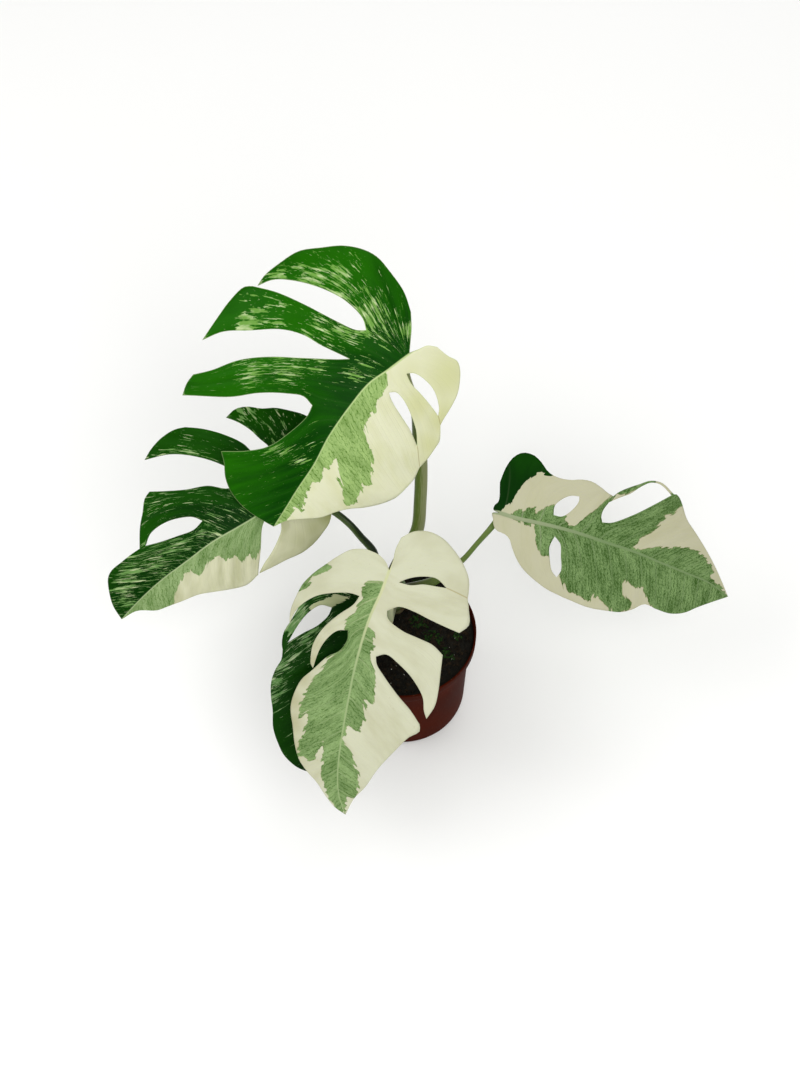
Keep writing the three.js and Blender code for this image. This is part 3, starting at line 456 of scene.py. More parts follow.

# Flat points are [u, w]: u along the midrib from its base and w out from it. The bow is the midrib's own
# curve. Zones are closed outlines of one colour, and streaks and shade are [u, w, reach, strength].
# Each half's shade spots are painted shade: they darken its cream towards the shade colour where the blade
# lies in shade.
LEAVES = {
    "top": {
        "base": [5, 117, 315], "heading": -139.3, "length": 174,
        "pitch": [-10, -62], "roll": [-40, -40], "wave": [1.2, 62, 0.6], "creased": True,
        "bow": [[0, 0], [20, -1.5], [37, -4], [59, -2.5], [86, 0], [110, 3.5], [136, 3], [156, 2],
            [174, 0]],
        "left": {
            "droop": [14, 25], "sinus": [[-8, 2], [-15, 4]],
            "rims": [
                [[-21, 10], [-25, 22], [-29.5, 31], [-28.5, 38], [-25, 45], [-18, 54], [-10, 59.5],
                 [8.5, 69]],
                [[8.5, 69], [13, 76], [18.5, 82], [27, 84.5], [43, 87.5], [61.5, 88]],
                [[61.5, 88], [78, 91.5], [95, 88.5], [113, 83], [127, 73], [135, 62], [139, 52], [146, 42],
                 [155, 33], [160, 20], [165, 8], [174, 0]],
            ],
            "slots": [
                {"station": 5, "pit": [10.5, 11], "near": [[5, 15], [0, 26], [-1.8, 39], [1.5, 54]],
                 "far": [[11.7, 20], [9.5, 34], [7.3, 49]], "join": [6, 59.7]},
                {"station": 22, "pit": [30.5, 13], "near": [[26, 17], [25, 26], [27.5, 40], [34, 57]],
                 "far": [[33, 20], [35.5, 36], [38, 52]], "join": [44, 68.5]},
            ],
            "base_colour": "cream",
            "shade": [[-18, 36, 24, 0.9], [4, 64, 20, 1], [17, 38, 18, 0.9], [32, 78, 18, 0.9],
                [48, 86, 12, 0.6], [8, 14, 14, 0.5]],
            "sage": [[[19, -9], [22.5, 1], [27.5, 8.5], [35, 10], [42.5, 10], [49.5, 17], [57, 13],
                [62.5, 16.5], [72, 30], [80.5, 41.5], [105, 56], [108, 51.5], [105.5, 46.5], [117.5, 52],
                [132, 52.5], [134.5, 46], [119.5, 35.5], [111, 26], [99, 16], [107, 17], [108, 10],
                [121.5, 15], [124.5, 11], [134.5, 11], [152, 16.5], [154, 13], [149, 9], [162, 7], [178, 6],
                [178, -9]]],
        },
        "right": {
            "droop": [8, 18], "sinus": [[-6, 6], [-13, 13]],
            "rims": [
                [[-21, 23], [-27, 38], [-29, 57], [-29, 70], [-25, 81], [-15, 94], [-1, 104], [10, 112],
                 [24, 115], [36, 116], [43, 114]],
                [[45, 116.5], [49, 121], [60, 122], [74, 121], [90, 120]],
                [[111, 110.5], [119, 111], [127, 109]],
                [[142, 61], [148, 55], [157, 49], [164, 41], [169, 31], [172, 20], [174, 0]],
            ],
            "slots": [
                {"station": 5, "pit": [13, 34], "near": [[9.5, 42], [10, 60], [15, 77], [25, 97],
                 [34, 109]], "far": [[18, 39], [24, 55], [31, 79], [38, 101]]},
                {"station": 22, "pit": [35, 27], "near": [[42, 49], [45, 63], [52, 78], [66, 95],
                 [78, 111]], "far": [[41, 33], [53, 48], [70, 71], [86, 89], [100, 100]]},
                {"station": 64, "pit": [76, 24], "near": [[75, 33], [81, 44], [93, 61], [105, 75],
                 [117, 93]], "far": [[84, 22], [101, 25], [118, 32], [130, 44]]},
            ],
            "base_colour": "green",
            "streaks": [[10, 42, 20, 1.1], [10, 62, 18, 1.1], [2, 25, 16, 0.8], [18, 88, 20, 1],
                [32, 106, 14, 0.9], [1, 76, 12, 1.1], [-2, 60, 10, 1.1], [-3, 46, 10, 1], [-10, 14, 8, 1.1],
                [26, 15, 9, 0.8], [30, 60, 14, 0.9], [24, 46, 12, 1], [56, 96, 20, 0.9], [40, 96, 10, 0.8],
                [28, 8, 10, 0.6], [66, 56, 16, 1], [84, 74, 14, 0.9], [51, 44, 12, 0.9], [38, 18, 9, 0.9],
                [100, 40, 14, 0.5], [112, 8, 14, 0.5], [118, 26, 14, 0.5]],
        },
    },
    "left": {
        "base": [-74, 66, 225], "heading": -149.6, "length": 186,
        "pitch": [0, -45], "roll": [-40, -40], "wave": [1, 58, 2.1],
        "bow": [[0, 0], [24, 4.5], [48, 6.5], [65, 6], [88, 4], [112, 3.5], [138, 1.5], [163, 0.5],
            [186, 0]],
        "left": {
            "droop": [14, 25], "sinus": [[-6, 4], [-11, 14]],
            "rims": [
                [[-13, 24], [-11, 34], [-6, 44], [2, 50], [12, 54], [27, 56], [45, 54], [60, 53], [74, 51]],
                [[75.5, 51.5], [90, 53], [104, 47], [117, 39], [128, 32], [141, 27], [154, 21], [162, 17],
                 [172, 5], [186, 0]],
            ],
            "slots": [
                {"station": 30, "pit": [38, 10], "near": [[33, 17], [35.5, 27], [43, 34], [54, 41],
                 [64, 45.5]], "far": [[47, 15.5], [60.5, 34]]},
            ],
            "base_colour": "cream",
            # Painted shadow that the top leaf casts on this half's basal lobe
            "shade": [[-12, 34, 18, 1], [8, 42, 14, 0.5], [24, 46, 12, 0.4]],
            "sage": [[[36, -4], [37, 9], [47.5, 15.5], [58, 30], [69, 39.5], [71, 31], [78, 33], [81, 25.5],
                [88.5, 24], [88.5, 18.5], [97.5, 14], [106.5, 18], [115.5, 21], [117.5, 13.5], [117, 9.5],
                [124, 11], [135, 16], [149.5, 24], [190, 12], [190, -4]]],
        },
        "right": {
            "droop": [8, 18], "sinus": [[-8, 7], [-18, 15]],
            "rims": [
                [[-27, 26], [-27, 36], [-21, 46], [-12, 54], [-4, 60], [5, 64], [14, 71], [22, 73.5],
                 [30, 71]],
                [[57, 81], [64, 84], [74, 84.5], [84, 82], [92, 78]],
                [[102, 56], [108, 54], [115, 47], [123, 40], [134, 27.5]],
                [[134, 27.5], [143, 29], [152, 30], [162, 31], [168, 29], [175, 22], [182, 12], [186, 0]],
            ],
            "slots": [
                {"station": 6, "pit": [18, 24], "near": [[14, 34], [17, 44], [20, 54], [25, 64]],
                 "far": [[25, 34], [29, 47], [37, 60], [47, 72]]},
                {"station": 36, "pit": [46, 22], "near": [[45, 31], [51, 43], [62, 57], [76, 70]],
                 "far": [[55, 23], [66, 33], [80, 40], [93, 49]]},
                {"station": 74, "pit": [84, 13.5], "near": [[88, 20], [97, 26], [108, 30], [120, 30.5]],
                 "far": [[93, 12], [106, 16], [119, 21]], "join": [129, 26]},
            ],
            "base_colour": "green",
            "streaks": [[90, 4, 14, 0.8], [110, 8, 16, 0.8], [132, 12, 16, 0.85], [152, 18, 16, 0.85],
                [168, 10, 14, 0.85], [60, 6, 12, 0.5], [76, 10, 12, 0.5], [88, 72, 14, 0.7],
                [62, 40, 10, 0.6], [2, 48, 16, 0.75], [16, 64, 14, 0.7], [70, 62, 14, 0.55],
                [60, 24, 12, 0.5], [100, 46, 14, 0.45]],
        },
    },
    "front": {
        "base": [-10, -14, 222], "heading": -103.2, "length": 198,
        "pitch": [-15, -65], "roll": [0, 0], "wave": [0.9, 66, 1.2], "creased": True,
        "bow": [[0, 0], [19, -2.5], [35, -6], [50, -8], [78, -10], [109, -10.5], [146, -10.5], [164, -9.5],
            [181, -6.5], [198, 0]],
        "left": {
            "droop": [8, 20], "sinus": [[-9, 1], [-18, 1]],
            "rims": [
                [[-27, 3], [-34, 11], [-37, 22], [-35, 33], [-29, 43], [-20, 53], [-10, 60], [-2, 62],
                 [5, 62.5]],
                [[5, 62.5], [13, 65], [26, 68], [34, 62]],
                [[54, 53], [68, 54], [83, 55], [96, 54.5], [107, 50]],
                [[112, 45.5], [118, 46.5], [124, 39], [137, 30], [153, 20], [171, 12], [182, 5], [198, 0]],
            ],
            "slots": [
                {"station": 2, "pit": [7, 9], "near": [[2, 16], [-2, 26], [-3, 36]], "far": [[7, 18],
                 [4, 27], [3, 36]], "join": [2, 45]},
                {"station": 27, "pit": [30, 5], "near": [[25, 13], [26, 25], [29, 37], [32, 51]],
                 "far": [[35.5, 7], [42, 19], [45, 32], [48, 44]]},
                {"station": 61, "pit": [65, 3.8], "near": [[62, 11], [67, 21], [76, 33], [90, 44],
                 [101, 47]], "far": [[70.5, 5.5], [79, 13], [91, 25], [102, 37]]},
            ],
            "base_colour": "cream",
            "sage": [[[44, -20], [45, -5], [48.5, -1], [58, 1], [63.5, 0], [72, 3.5], [91, 8], [101, 9.5],
                [99.5, 0], [103, 2.5], [112, 4], [124.5, 2.5], [124, -2.5], [121, -7], [127, -7.5],
                [132.5, -9], [145, -1], [161, 6], [173.5, 7.5], [182, 4.5], [180, 0], [194, -1], [204, -4],
                [204, -20]]],
        },
        "right": {
            "droop": [8, 20], "sinus": [[-6, 4], [-11, 11]],
            "rims": [
                [[-14, 22], [-12, 33], [-6, 42], [2, 51], [11, 60], [20, 66], [32, 69], [44, 70.5],
                 [54, 69]],
                [[76, 46], [81, 45], [84, 42.5]],
                [[86, 43], [95, 50], [107, 54], [119, 55], [134, 51], [150, 47], [161, 42], [169, 34],
                 [176, 25], [186, 17], [194, 9], [198, 0]],
            ],
            "slots": [
                {"station": 14, "pit": [23, 18], "near": [[22, 26], [24, 39], [29, 53], [41, 65]],
                 "far": [[30, 21], [40, 31], [53, 41], [66, 46]]},
                {"station": 40, "pit": [50, 21], "near": [[52, 29], [59, 35.5], [69, 40]], "far": [[57, 20],
                 [66, 24], [73, 33]]},
            ],
            "base_colour": "cream",
            "shade": [[93, 50, 10, 0.9], [113, 54, 11, 1], [131, 52, 12, 1], [152, 46, 12, 0.9],
                [66, 43, 9, 0.7], [78, 43, 8, 0.9], [51, 37, 8, 0.5], [43, 66, 8, 0.7]],
            "sage": [
                [[10.5, 3], [10.5, 4], [12, 13.5], [16.5, 18], [23.5, 16], [30, 18.5], [35.5, 18.5],
                 [40, 23.5], [51, 23], [65, 23], [74, 32.5], [80.5, 34.5], [101, 44.5], [118.5, 48],
                 [127.5, 47], [117.5, 40], [128, 40.5], [151, 44], [159, 43], [155, 39.5], [159.5, 34.5],
                 [155.5, 29], [145, 27], [138.5, 24], [152.5, 23.5], [170, 21.5], [183, 16.5], [192.5, 10],
                 [204, 4], [204, 0], [180, 4], [133, 7], [104, 8], [80, 7], [50, 5.5], [30, 2], [12, -1]],
                [[28, 74], [26, 68.5], [23, 63], [14.5, 59], [12, 52.5], [4, 46], [2, 52], [12, 62],
                 [20, 68]],
            ],
        },
    },
    "low": {
        "base": [-31, -11, 170], "heading": -106.3, "length": 143,
        "pitch": [-15, -55], "roll": [-22, -22], "wave": [1, 50, 0],
        "bow": [[0, 0], [143, 0]],
        "left": {
            "droop": [40, 18], "sinus": [[-5, 4], [-8, 8]],
            "rims": [[[-10, 14], [-6, 20], [2, 25], [14, 30], [30, 34], [46, 36], [62, 36], [80, 33],
                [97, 29], [113, 24], [128, 14], [143, 0]]],
            "slots": [],
            "base_colour": "green",
            "streaks": [[30, 20, 16, 0.4], [90, 14, 16, 0.35]],
        },
        "right": {
            "droop": [5, 17], "sinus": [[-6, 5], [-13, 13]],
            "rims": [
                [[-17, 23], [-14, 33], [-6, 40], [6, 44], [18, 46], [29, 49], [38, 52], [46, 51.5],
                 [51, 49.5]],
                [[51, 49.5], [58, 48.5], [66, 51], [76, 52], [86, 50], [96, 46.5], [109, 43.5], [120, 38],
                 [130, 31], [138, 20], [141, 10], [143, 0]],
            ],
            "slots": [
                {"station": 3, "pit": [11.5, 21.5], "near": [[12, 30], [19, 37], [29, 42]],
                 "far": [[18, 22.5], [27, 28], [36, 38]], "join": [45, 47]},
            ],
            "base_colour": "green",
            "cream": [[[0, 10.5], [0.7, 19.7], [2.4, 25], [7.9, 30.3], [13, 36.7], [16.5, 38.5], [17, 33],
                [12.5, 25], [8.5, 19.5], [4.6, 13.5]]],
            "streaks": [[-6, 20, 10, 1.2], [0, 38, 12, 1.4], [20, 44, 9, 1.6], [32, 46, 8, 1.5],
                [40, 33, 9, 1.3], [31, 28, 9, 1.2], [22, 22, 8, 1.1], [52, 41, 9, 0.95], [62, 46, 9, 1.1],
                [75, 48, 9, 1.2], [88, 47, 7, 0.8], [62, 36, 6, 0.4], [110, 34, 12, 0.2]],
        },
    },
    "right": {
        "base": [75, 48, 205], "heading": -8.3, "length": 212,
        "pitch": [-2, -45], "roll": [30, 25], "wave": [1.1, 70, 2.6],
        "bow": [[0, 0], [14, -2], [32, -2.5], [60, -3], [88, -4], [113, -3.5], [134, -3.5], [162, -2],
            [186, 0.5], [212, 0]],
        "left": {
            "droop": [4, 7], "sinus": [[-5, 2], [-4.5, 5.5], [-2, 9]],
            "rims": [
                [[-3, 24], [0, 36], [4.5, 45], [11, 49.8], [19, 49.2], [25, 45], [32, 38], [40, 35.5],
                 [49, 36], [57, 38.5], [66, 39], [75, 36]],
                [[75, 36], [79.5, 34], [84, 33]],
                [[131.6, 52.6], [134, 53.5], [137, 52.2], [141.4, 47.6], [148.5, 38.6], [161, 31],
                 [183, 18], [212, 0]],
            ],
            "slots": [
                {"station": 38, "pit": [41.5, 6], "near": [[41, 13], [46, 20], [52, 24]], "far": [[48, 6.3],
                 [54, 12], [58.5, 21]], "join": [58, 25]},
                {"station": 74, "pit": [80.2, 10.3], "near": [[78.4, 14.6], [78.8, 20]],
                 "far": [[87.3, 12.1], [103.2, 23.9], [118.4, 38.9]], "strap": {"inner": [[81.7, 27.1],
                 [89, 33.3], [96.6, 39.3], [103.2, 47.4], [110.2, 53.6], [118.5, 55.2], [129.7, 50.9]],
                 "outer": [[84, 33], [87.5, 37.6], [94, 43.3], [101.8, 49.3], [109.1, 54.8], [118.8, 57],
                 [131.6, 52.6]]}},
            ],
            "base_colour": "cream",
            "green": [[[-12, -8], [1.5, 1.5], [3.5, 5], [6.5, 7], [10, 15.5], [12.5, 21.5], [15.5, 27.5],
                [22, 34], [27.5, 36.5], [30, 35.5], [35, 37], [44, 60], [-12, 60]]],
            "sage": [
                [[9.5, -6], [9.5, 0], [12, 3.5], [19, 6], [28, 8.5], [28.5, 5], [39.5, 13.5], [45, 10],
                 [51, 7.5], [52.5, 4], [55.5, 1.5], [59.5, 1.5], [73, 18.5], [79, 28], [83, 33], [85, 28],
                 [100, 33], [118, 47], [128.5, 52], [131, 55], [140, 58], [144, 50], [140.5, 47],
                 [137.5, 44], [134.8, 38], [129.8, 35.5], [126.9, 33], [129.2, 30.5], [128.2, 27.3],
                 [124.4, 19.7], [121.5, 15.5], [113, 7.5], [114, 3.5], [111, 0], [117, -1], [129, 6],
                 [146, 13.5], [159.5, 17.5], [170, 18], [181, 15], [187.5, 11], [186.5, 6], [200, 3.5],
                 [214, 0], [214, -6]],
                [[82.5, 31], [86.3, 34.7], [91, 35], [93.8, 38.2], [97.5, 41.8], [104.5, 48], [109, 52],
                 [113, 54.3], [114, 60], [100, 58], [84, 42]],
            ],
        },
        "right": {
            "droop": [8, 17], "sinus": [[-5.5, 1], [-4.5, 5]],
            "rims": [
                [[-3.5, 9.5], [-1, 13.5], [7, 16], [11, 19], [14, 25], [20.5, 34.5], [29, 42], [49, 51.5],
                 [67, 55]],
                [[67, 55], [92, 57], [108, 55], [123, 51.5], [132, 46], [140, 38.5], [153, 38], [168, 36],
                 [180, 30], [189, 21], [212, 0]],
            ],
            "slots": [
                {"station": 38, "pit": [46, 10], "near": [[44, 19], [47, 29], [51, 37]], "far": [[52, 15],
                 [55, 24], [58.5, 35]], "join": [56.5, 41]},
            ],
            "base_colour": "cream",
            "sage": [[[10, -3], [10, 2.5], [18, 5], [29, 5.5], [31, 14.5], [35, 22], [41, 27], [44.5, 24.5],
                [53, 31], [60.5, 40.5], [69, 51], [72.5, 50.5], [79.5, 49.5], [91, 53], [93.5, 46],
                [104, 49], [111, 51.5], [118, 58], [128.5, 47], [127.5, 42], [118, 37.5], [114, 30.5],
                [115, 25.5], [121, 28], [128, 29], [130.5, 27], [139, 33], [153, 40], [170, 44], [216, 6],
                [216, -3]]],
        },
    },
}


def smooth(points):
    """A smooth curve through points, as a function of a share from 0 to 1 that counts the points evenly."""
    p = np.asarray(points, float)
    q = np.vstack([2 * p[0] - p[1], p, 2 * p[-1] - p[-2]])
    gaps = np.sum(np.diff(q, axis=0) ** 2, axis=1) ** 0.25

    def at(share):
        spot = np.clip(np.asarray(share, float), 0, 1) * (len(p) - 1)
        i = np.minimum(spot.astype(int), len(p) - 2)
        w = (spot - i)[..., None]
        g0, g1, g2 = (gaps[i + n][..., None] for n in range(3))
        a, b, c, d = (q[i + n] for n in range(4))
        leave = ((b - a) / g0 - (c - a) / (g0 + g1) + (c - b) / g1) * g1
        arrive = ((c - b) / g1 - (d - b) / (g1 + g2) + (d - c) / g2) * g1
        square, cube = 3 * (c - b) - 2 * leave - arrive, 2 * (b - c) + leave + arrive
        return b + leave * w + square * w**2 + cube * w**3

    return at


def steps_of(points):
    """How far it is from each point of a line to the next."""
    return np.linalg.norm(np.diff(np.asarray(points, float), axis=0), axis=1)


def run_of(points):
    """How far along a line each of its points lies."""
    return np.concatenate([[0], np.cumsum(steps_of(points))])


def evenly(curve, shares):
    """Points of a curve at shares of its length."""
    fine = np.linspace(0, 1, 600)
    run = run_of(curve(fine))
    return curve(np.interp(np.asarray(shares) * run[-1], run, fine))


def line(a, b, shares):
    """Points of a straight line at shares of its length."""
    shares = np.asarray(shares, float)[:, None]
    return np.asarray(a, float) * (1 - shares) + np.asarray(b, float) * shares


def halves_of(leaf):
    """Both halves of a leaf, each with the sign of its side."""
    return (leaf["left"], 1), (leaf["right"], -1)


def ends_of(leaf, half):
    """Where the lobes of one half start and end along the midrib."""
    return [0, *(slot["station"] for slot in half["slots"]), leaf["length"]]


def bow_at(leaf, u):
    """How far to the left the bowed midrib lies."""
    curve = smooth(leaf["bow"])(np.linspace(0, 1, 400))
    return np.interp(u, curve[:, 0], curve[:, 1])


def foot_of(leaf, station, sign):
    """Where a station lies on the bowed midrib, in the coordinates of one half."""
    return np.array([station, sign * bow_at(leaf, station)])


def rib_shares(length):
    """Shares of the first rows, which are set by their distance from the midrib."""
    scale = min(1, 0.45 * length / RIB_ROWS[-1])
    return [d * scale / length for d in RIB_ROWS]


def seam_edges(slot, foot, rim_before, rim_after):
    """Both edges of the seam between two lobes, row by row from the midrib to the rim."""
    pit = np.array(slot["pit"], float)
    ends = None
    if "join" in slot:
        ends = [slot["join"]] * 2
    elif "strap" in slot:
        ends = [slot["strap"]["inner"][0], slot["strap"]["inner"][-1]]
    near = [pit, *slot["near"], ends[0] if ends else rim_before]
    far = [pit, *slot["far"], ends[1] if ends else rim_after]
    inner = np.linalg.norm(pit - foot)
    whole = inner + np.linalg.norm(pit - near[-1])
    tail = np.linalg.norm(np.array(near[-1]) - rim_before) if "join" in slot else 0
    first = len(RIB_ROWS)
    share = (ROWS - first) / (whole + tail)
    opens = first + max(2, round(inner * share))
    closes = ROWS - (max(3, round(tail * share)) if ends else 0)
    ribs = rib_shares(inner)
    start = line(foot, pit, [0, *ribs, *np.linspace(ribs[-1], 1, opens - first + 1)[1:]])
    edges = []
    for points, rim_point in ((near, rim_before), (far, rim_after)):
        rows = [*start, *evenly(smooth(points), np.linspace(0, 1, closes - opens + 1))[1:]]
        if ends:
            rows += [*line(points[-1], rim_point, np.linspace(0, 1, ROWS - closes + 1))[1:]]
        edges.append(np.array(rows))
    return edges, closes


def relaxed(grid, passes):
    """Evens out the points inside a lobe so that its cells stay regular where its edges wind."""
    g = grid.copy()
    low = len(RIB_ROWS) + 1
    for _ in range(passes):
        along = g[2:, low:-1] - g[:-2, low:-1]
        outward = g[1:-1, low + 1 :] - g[1:-1, low - 1 : -2]
        twist = g[2:, low + 1 :] - g[:-2, low + 1 :] - g[2:, low - 1 : -2] + g[:-2, low - 1 : -2]
        a, c, b = (np.sum(x, -1, keepdims=True) for x in (outward**2, along**2, along * outward))
        sides = g[2:, low:-1] + g[:-2, low:-1]
        ends = g[1:-1, low + 1 :] + g[1:-1, low - 1 : -2]
        g[1:-1, low:-1] = (a * sides + c * ends - b * twist / 2) / (2 * (a + c) + 1e-12)
    return g


def shares_of(edge):
    """The share of an edge's length at each of its points."""
    run = run_of(edge)
    return run / run[-1] if run[-1] > 0 else np.linspace(0, 1, len(edge))


def lobe_grid(near, far, rim, feet):
    """One lobe as columns of flat points, stretched between its two edges, the midrib and its rim."""
    near_share, far_share = shares_of(near), shares_of(far)
    spots = (feet[:, 0] - feet[0, 0]) / (feet[-1, 0] - feet[0, 0])
    columns = []
    for s, inner, outer in zip(spots, feet, evenly(smooth(rim), spots)):
        t = ((1 - s) * near_share + s * far_share)[:, None]
        across = (1 - s) * near + s * far
        columns.append(across + (1 - t) * (inner - across[0]) + t * (outer - across[-1]))
    columns[0], columns[-1] = near, far
    return relaxed(np.array(columns), RELAXING)


def stations_of(leaf):
    """Stations of the columns, shared by both halves so that they meet along the midrib."""
    marks = sorted({end for half, _ in halves_of(leaf) for end in ends_of(leaf, half)})
    stations = [0.0]
    for start, end in zip(marks, marks[1:]):
        count = 1
        for half, _ in halves_of(leaf):
            ends = ends_of(leaf, half)
            lobe = next(n for n in range(len(half["rims"])) if ends[n] <= start and end <= ends[n + 1])
            rim = steps_of(half["rims"][lobe]).sum()
            count = max(count, math.ceil(rim / COLUMN_STEP * (end - start) / (ends[lobe + 1] - ends[lobe])))
        stations += [start + (end - start) * n / count for n in range(1, count + 1)]
    return np.array(stations)


def axes_of(leaf, pitch, roll):
    """The ways ahead on the level, to the left and off the upper face, at some pitches and rolls."""
    turn = math.radians(leaf["heading"])
    ahead = np.array([math.cos(turn), math.sin(turn), 0])
    level = np.array([-math.sin(turn), math.cos(turn), 0])
    up = -np.sin(pitch)[:, None] * ahead + np.cos(pitch)[:, None] * np.array([0, 0, 1])
    across, lift = np.cos(roll)[:, None], np.sin(roll)[:, None]
    return ahead, level * across + up * lift, up * across - level * lift


def bent(leaf, u, v):
    """Flat points bent into place: the midrib's pitch and roll, each half's droop, and the margin's wave."""
    start, finish = (math.radians(p) for p in leaf["pitch"])
    bend = (finish - start) / leaf["length"]
    pitch = start + bend * np.maximum(u, 0)
    run = np.where(u > 0, (np.sin(pitch) - math.sin(start)) / bend, u * math.cos(start))
    rise = np.where(u > 0, (math.cos(start) - np.cos(pitch)) / bend, u * math.sin(start))
    first, last = leaf["roll"]
    roll = np.radians(first + (last - first) * np.clip(u / leaf["length"], -0.3, 1.1))
    ahead, side, normal = axes_of(leaf, pitch, roll)
    bow = bow_at(leaf, u)
    away = v - bow
    out, drop = np.zeros_like(u), np.zeros_like(u)
    for half, chosen in ((leaf["left"], away > 0), (leaf["right"], away <= 0)):
        fold, rate = math.radians(half["droop"][0]), math.radians(half["droop"][1]) / 100
        slope = fold + rate * np.abs(away)
        out = np.where(chosen, (np.sin(slope) - math.sin(fold)) / rate, out)
        drop = np.where(chosen, (np.cos(slope) - math.cos(fold)) / rate, drop)
    height, length, phase = leaf["wave"]
    ripple = np.sin(2 * np.pi * (u + RIPPLE_SLANT * np.abs(v)) / length + phase)
    lift = height * np.minimum(RIPPLE_MOST, (v / RIPPLE_FULL) ** 2) * ripple
    place = np.array(leaf["base"]) + run[:, None] * ahead + rise[:, None] * np.array([0, 0, 1])
    return place + side * (bow + np.sign(away) * out)[:, None] + normal * (drop + lift)[:, None]


def inside_by(outline, points):
    """How far inside a closed outline each point lies, negative outside."""
    corners = np.array(outline, float)
    x, y = points[:, 0, None], points[:, 1, None]
    (x0, y0), (x1, y1) = corners.T, np.roll(corners, -1, 0).T
    along = (x1 - x0) * (y - y0) / np.where(y1 == y0, 1e-9, y1 - y0) + x0
    within = (((y0 > y) != (y1 > y)) & (x < along)).sum(1) % 2 == 1
    share = ((x - x0) * (x1 - x0) + (y - y0) * (y1 - y0)) / ((x1 - x0) ** 2 + (y1 - y0) ** 2 + 1e-12)
    share = np.clip(share, 0, 1)
    gap = np.sqrt((x - x0 - share * (x1 - x0)) ** 2 + (y - y0 - share * (y1 - y0)) ** 2).min(1)
    return np.where(within, gap, -gap)


def half_grids(leaf, half, sign, stations):
    """The lobes and straps of one half as grids of flat points, with the columns' places among the veins."""
    ends = ends_of(leaf, half)
    rims = [np.array(rim, float) for rim in half["rims"]]
    sinus = smooth([[0, 0], *half["sinus"], rims[0][0]])
    ribs = rib_shares(steps_of(evenly(sinus, np.linspace(0, 1, 50))).sum())
    edges = [evenly(sinus, [0, *ribs, *np.linspace(ribs[-1], 1, ROWS - len(ribs) + 1)[1:]])]
    straps = []
    for n, slot in enumerate(half["slots"]):
        foot = foot_of(leaf, slot["station"], sign)
        pair, closes = seam_edges(slot, foot, rims[n][-1], rims[n + 1][0])
        edges += pair
        if "strap" in slot:
            steps = np.linspace(0, 1, 6 * (len(slot["strap"]["inner"]) - 1) + 1)
            inner, outer = (smooth(slot["strap"][edge])(steps) for edge in ("inner", "outer"))
            rows = np.linspace(0, 1, ROWS - closes + 1)
            straps.append(np.array([line(a, b, rows) for a, b in zip(inner, outer)]))
    edges.append(np.tile([leaf["length"], 0.0], (ROWS + 1, 1)))
    phase = 0.0
    grids = []
    for n, rim in enumerate(rims):
        within = stations[(stations >= ends[n]) & (stations <= ends[n + 1])]
        feet = np.array([foot_of(leaf, station, sign) for station in within])
        widest = max((ends[n + 1] - ends[n]) / VEIN_GAP_AT_RIB, steps_of(rim).sum() / VEIN_GAP_AT_RIM)
        count = max(1, round(widest))
        across = phase + np.linspace(0, 1, len(within)) * count
        grids.append((lobe_grid(edges[2 * n], edges[2 * n + 1], rim, feet), across))
        phase += count
    return grids + [(strap, phase + np.linspace(0, 1, len(strap))) for strap in straps]


def blade(leaf):
    """A blade's flat points with their places among the veins and their sides, and its faces."""
    stations = stations_of(leaf)
    known, flat, veins, faces, signs = {}, [], [], [], []

    def vertex(u, v, vein, sign):
        key = (round(u * 1000), round(v * 1000))
        if key not in known:
            known[key] = len(flat)
            flat.append((u, v))
            veins.append(vein)
            signs.append(sign)
        return known[key]

    for half, sign in halves_of(leaf):
        for grid, across in half_grids(leaf, half, sign, stations):
            ids = [
                [vertex(u, sign * w, (p, r), sign) for (u, w), r in zip(column, run_of(column))]
                for column, p in zip(grid, across)
            ]
            for a, b, c, d in walls(lambda i, j: ids[i][j], range(len(ids) - 1), len(ids[0]) - 1):
                cell = (a, d, c, b) if sign > 0 else (d, a, b, c)
                ring = tuple(n for i, n in enumerate(cell) if n != cell[i - 1])
                if len(set(ring)) > 2:
                    faces.append(ring)
    return np.array(flat), np.array(veins, float), np.array(signs), faces


def rim_of(faces):
    """The edges that only one face has, in the order that the face goes round."""
    once = {}
    for face in faces:
        for a, b in zip(face, face[1:] + face[:1]):
            if not once.pop((b, a), False):
                once[(a, b)] = True
    return list(once)


def zone_field(leaf, name, flat, signs):
    """How far inside a colour's outlines each flat point lies, worked out half by half."""
    on_rib = np.abs(flat[:, 1] - bow_at(leaf, flat[:, 0])) < 1e-6
    sides = []
    for half, sign in halves_of(leaf):
        all_over = half["base_colour"] == name
        here = np.full(len(flat), FAR_INSIDE if all_over else -FAR_INSIDE)
        for outline in half.get("cream" if all_over else name, ()):
            depth = inside_by(outline, flat * [1, sign])
            here = np.minimum(here, -depth) if all_over else np.maximum(here, depth)
        sides.append(here)
    field = np.where(signs > 0, *sides)
    field[on_rib] = np.clip(sides[0][on_rib] + sides[1][on_rib], -2, 2) / 2
    return np.clip(field, -FAR_INSIDE, FAR_INSIDE)


def spread_of(leaf, label, flat, signs):
    """How strongly each flat point is reached by a leaf's streaks or shade."""
    spread = np.zeros(len(flat))
    for half, sign in halves_of(leaf):
        own = flat * [1, sign]
        for u, w, reach, strength in half.get(label, ()):
            near = strength * np.exp(-(((own - [u, w]) ** 2).sum(1)) / reach**2)
            spread = np.where(signs == sign, np.maximum(spread, near), spread)
    return spread


def crease_of(leaf, flat, signs):
    """How far each flat point lies from the painted shade lines of the creases that run from a leaf's closed
    slots to its rim.
    """
    crease = np.full(len(flat), FAR_INSIDE)
    for half, sign in halves_of(leaf):
        for slot, rim in zip(half["slots"], half["rims"]):
            if "join" in slot and leaf.get("creased"):
                start = np.array(slot["join"], float)
                way = np.array(rim[-1], float) - start
                own = flat * [1, sign] - start
                share = np.clip(own @ way / (way @ way), 0, 1)
                gap = np.linalg.norm(own - share[:, None] * way, axis=1)
                crease = np.where(signs == sign, np.minimum(crease, gap), crease)
    return crease


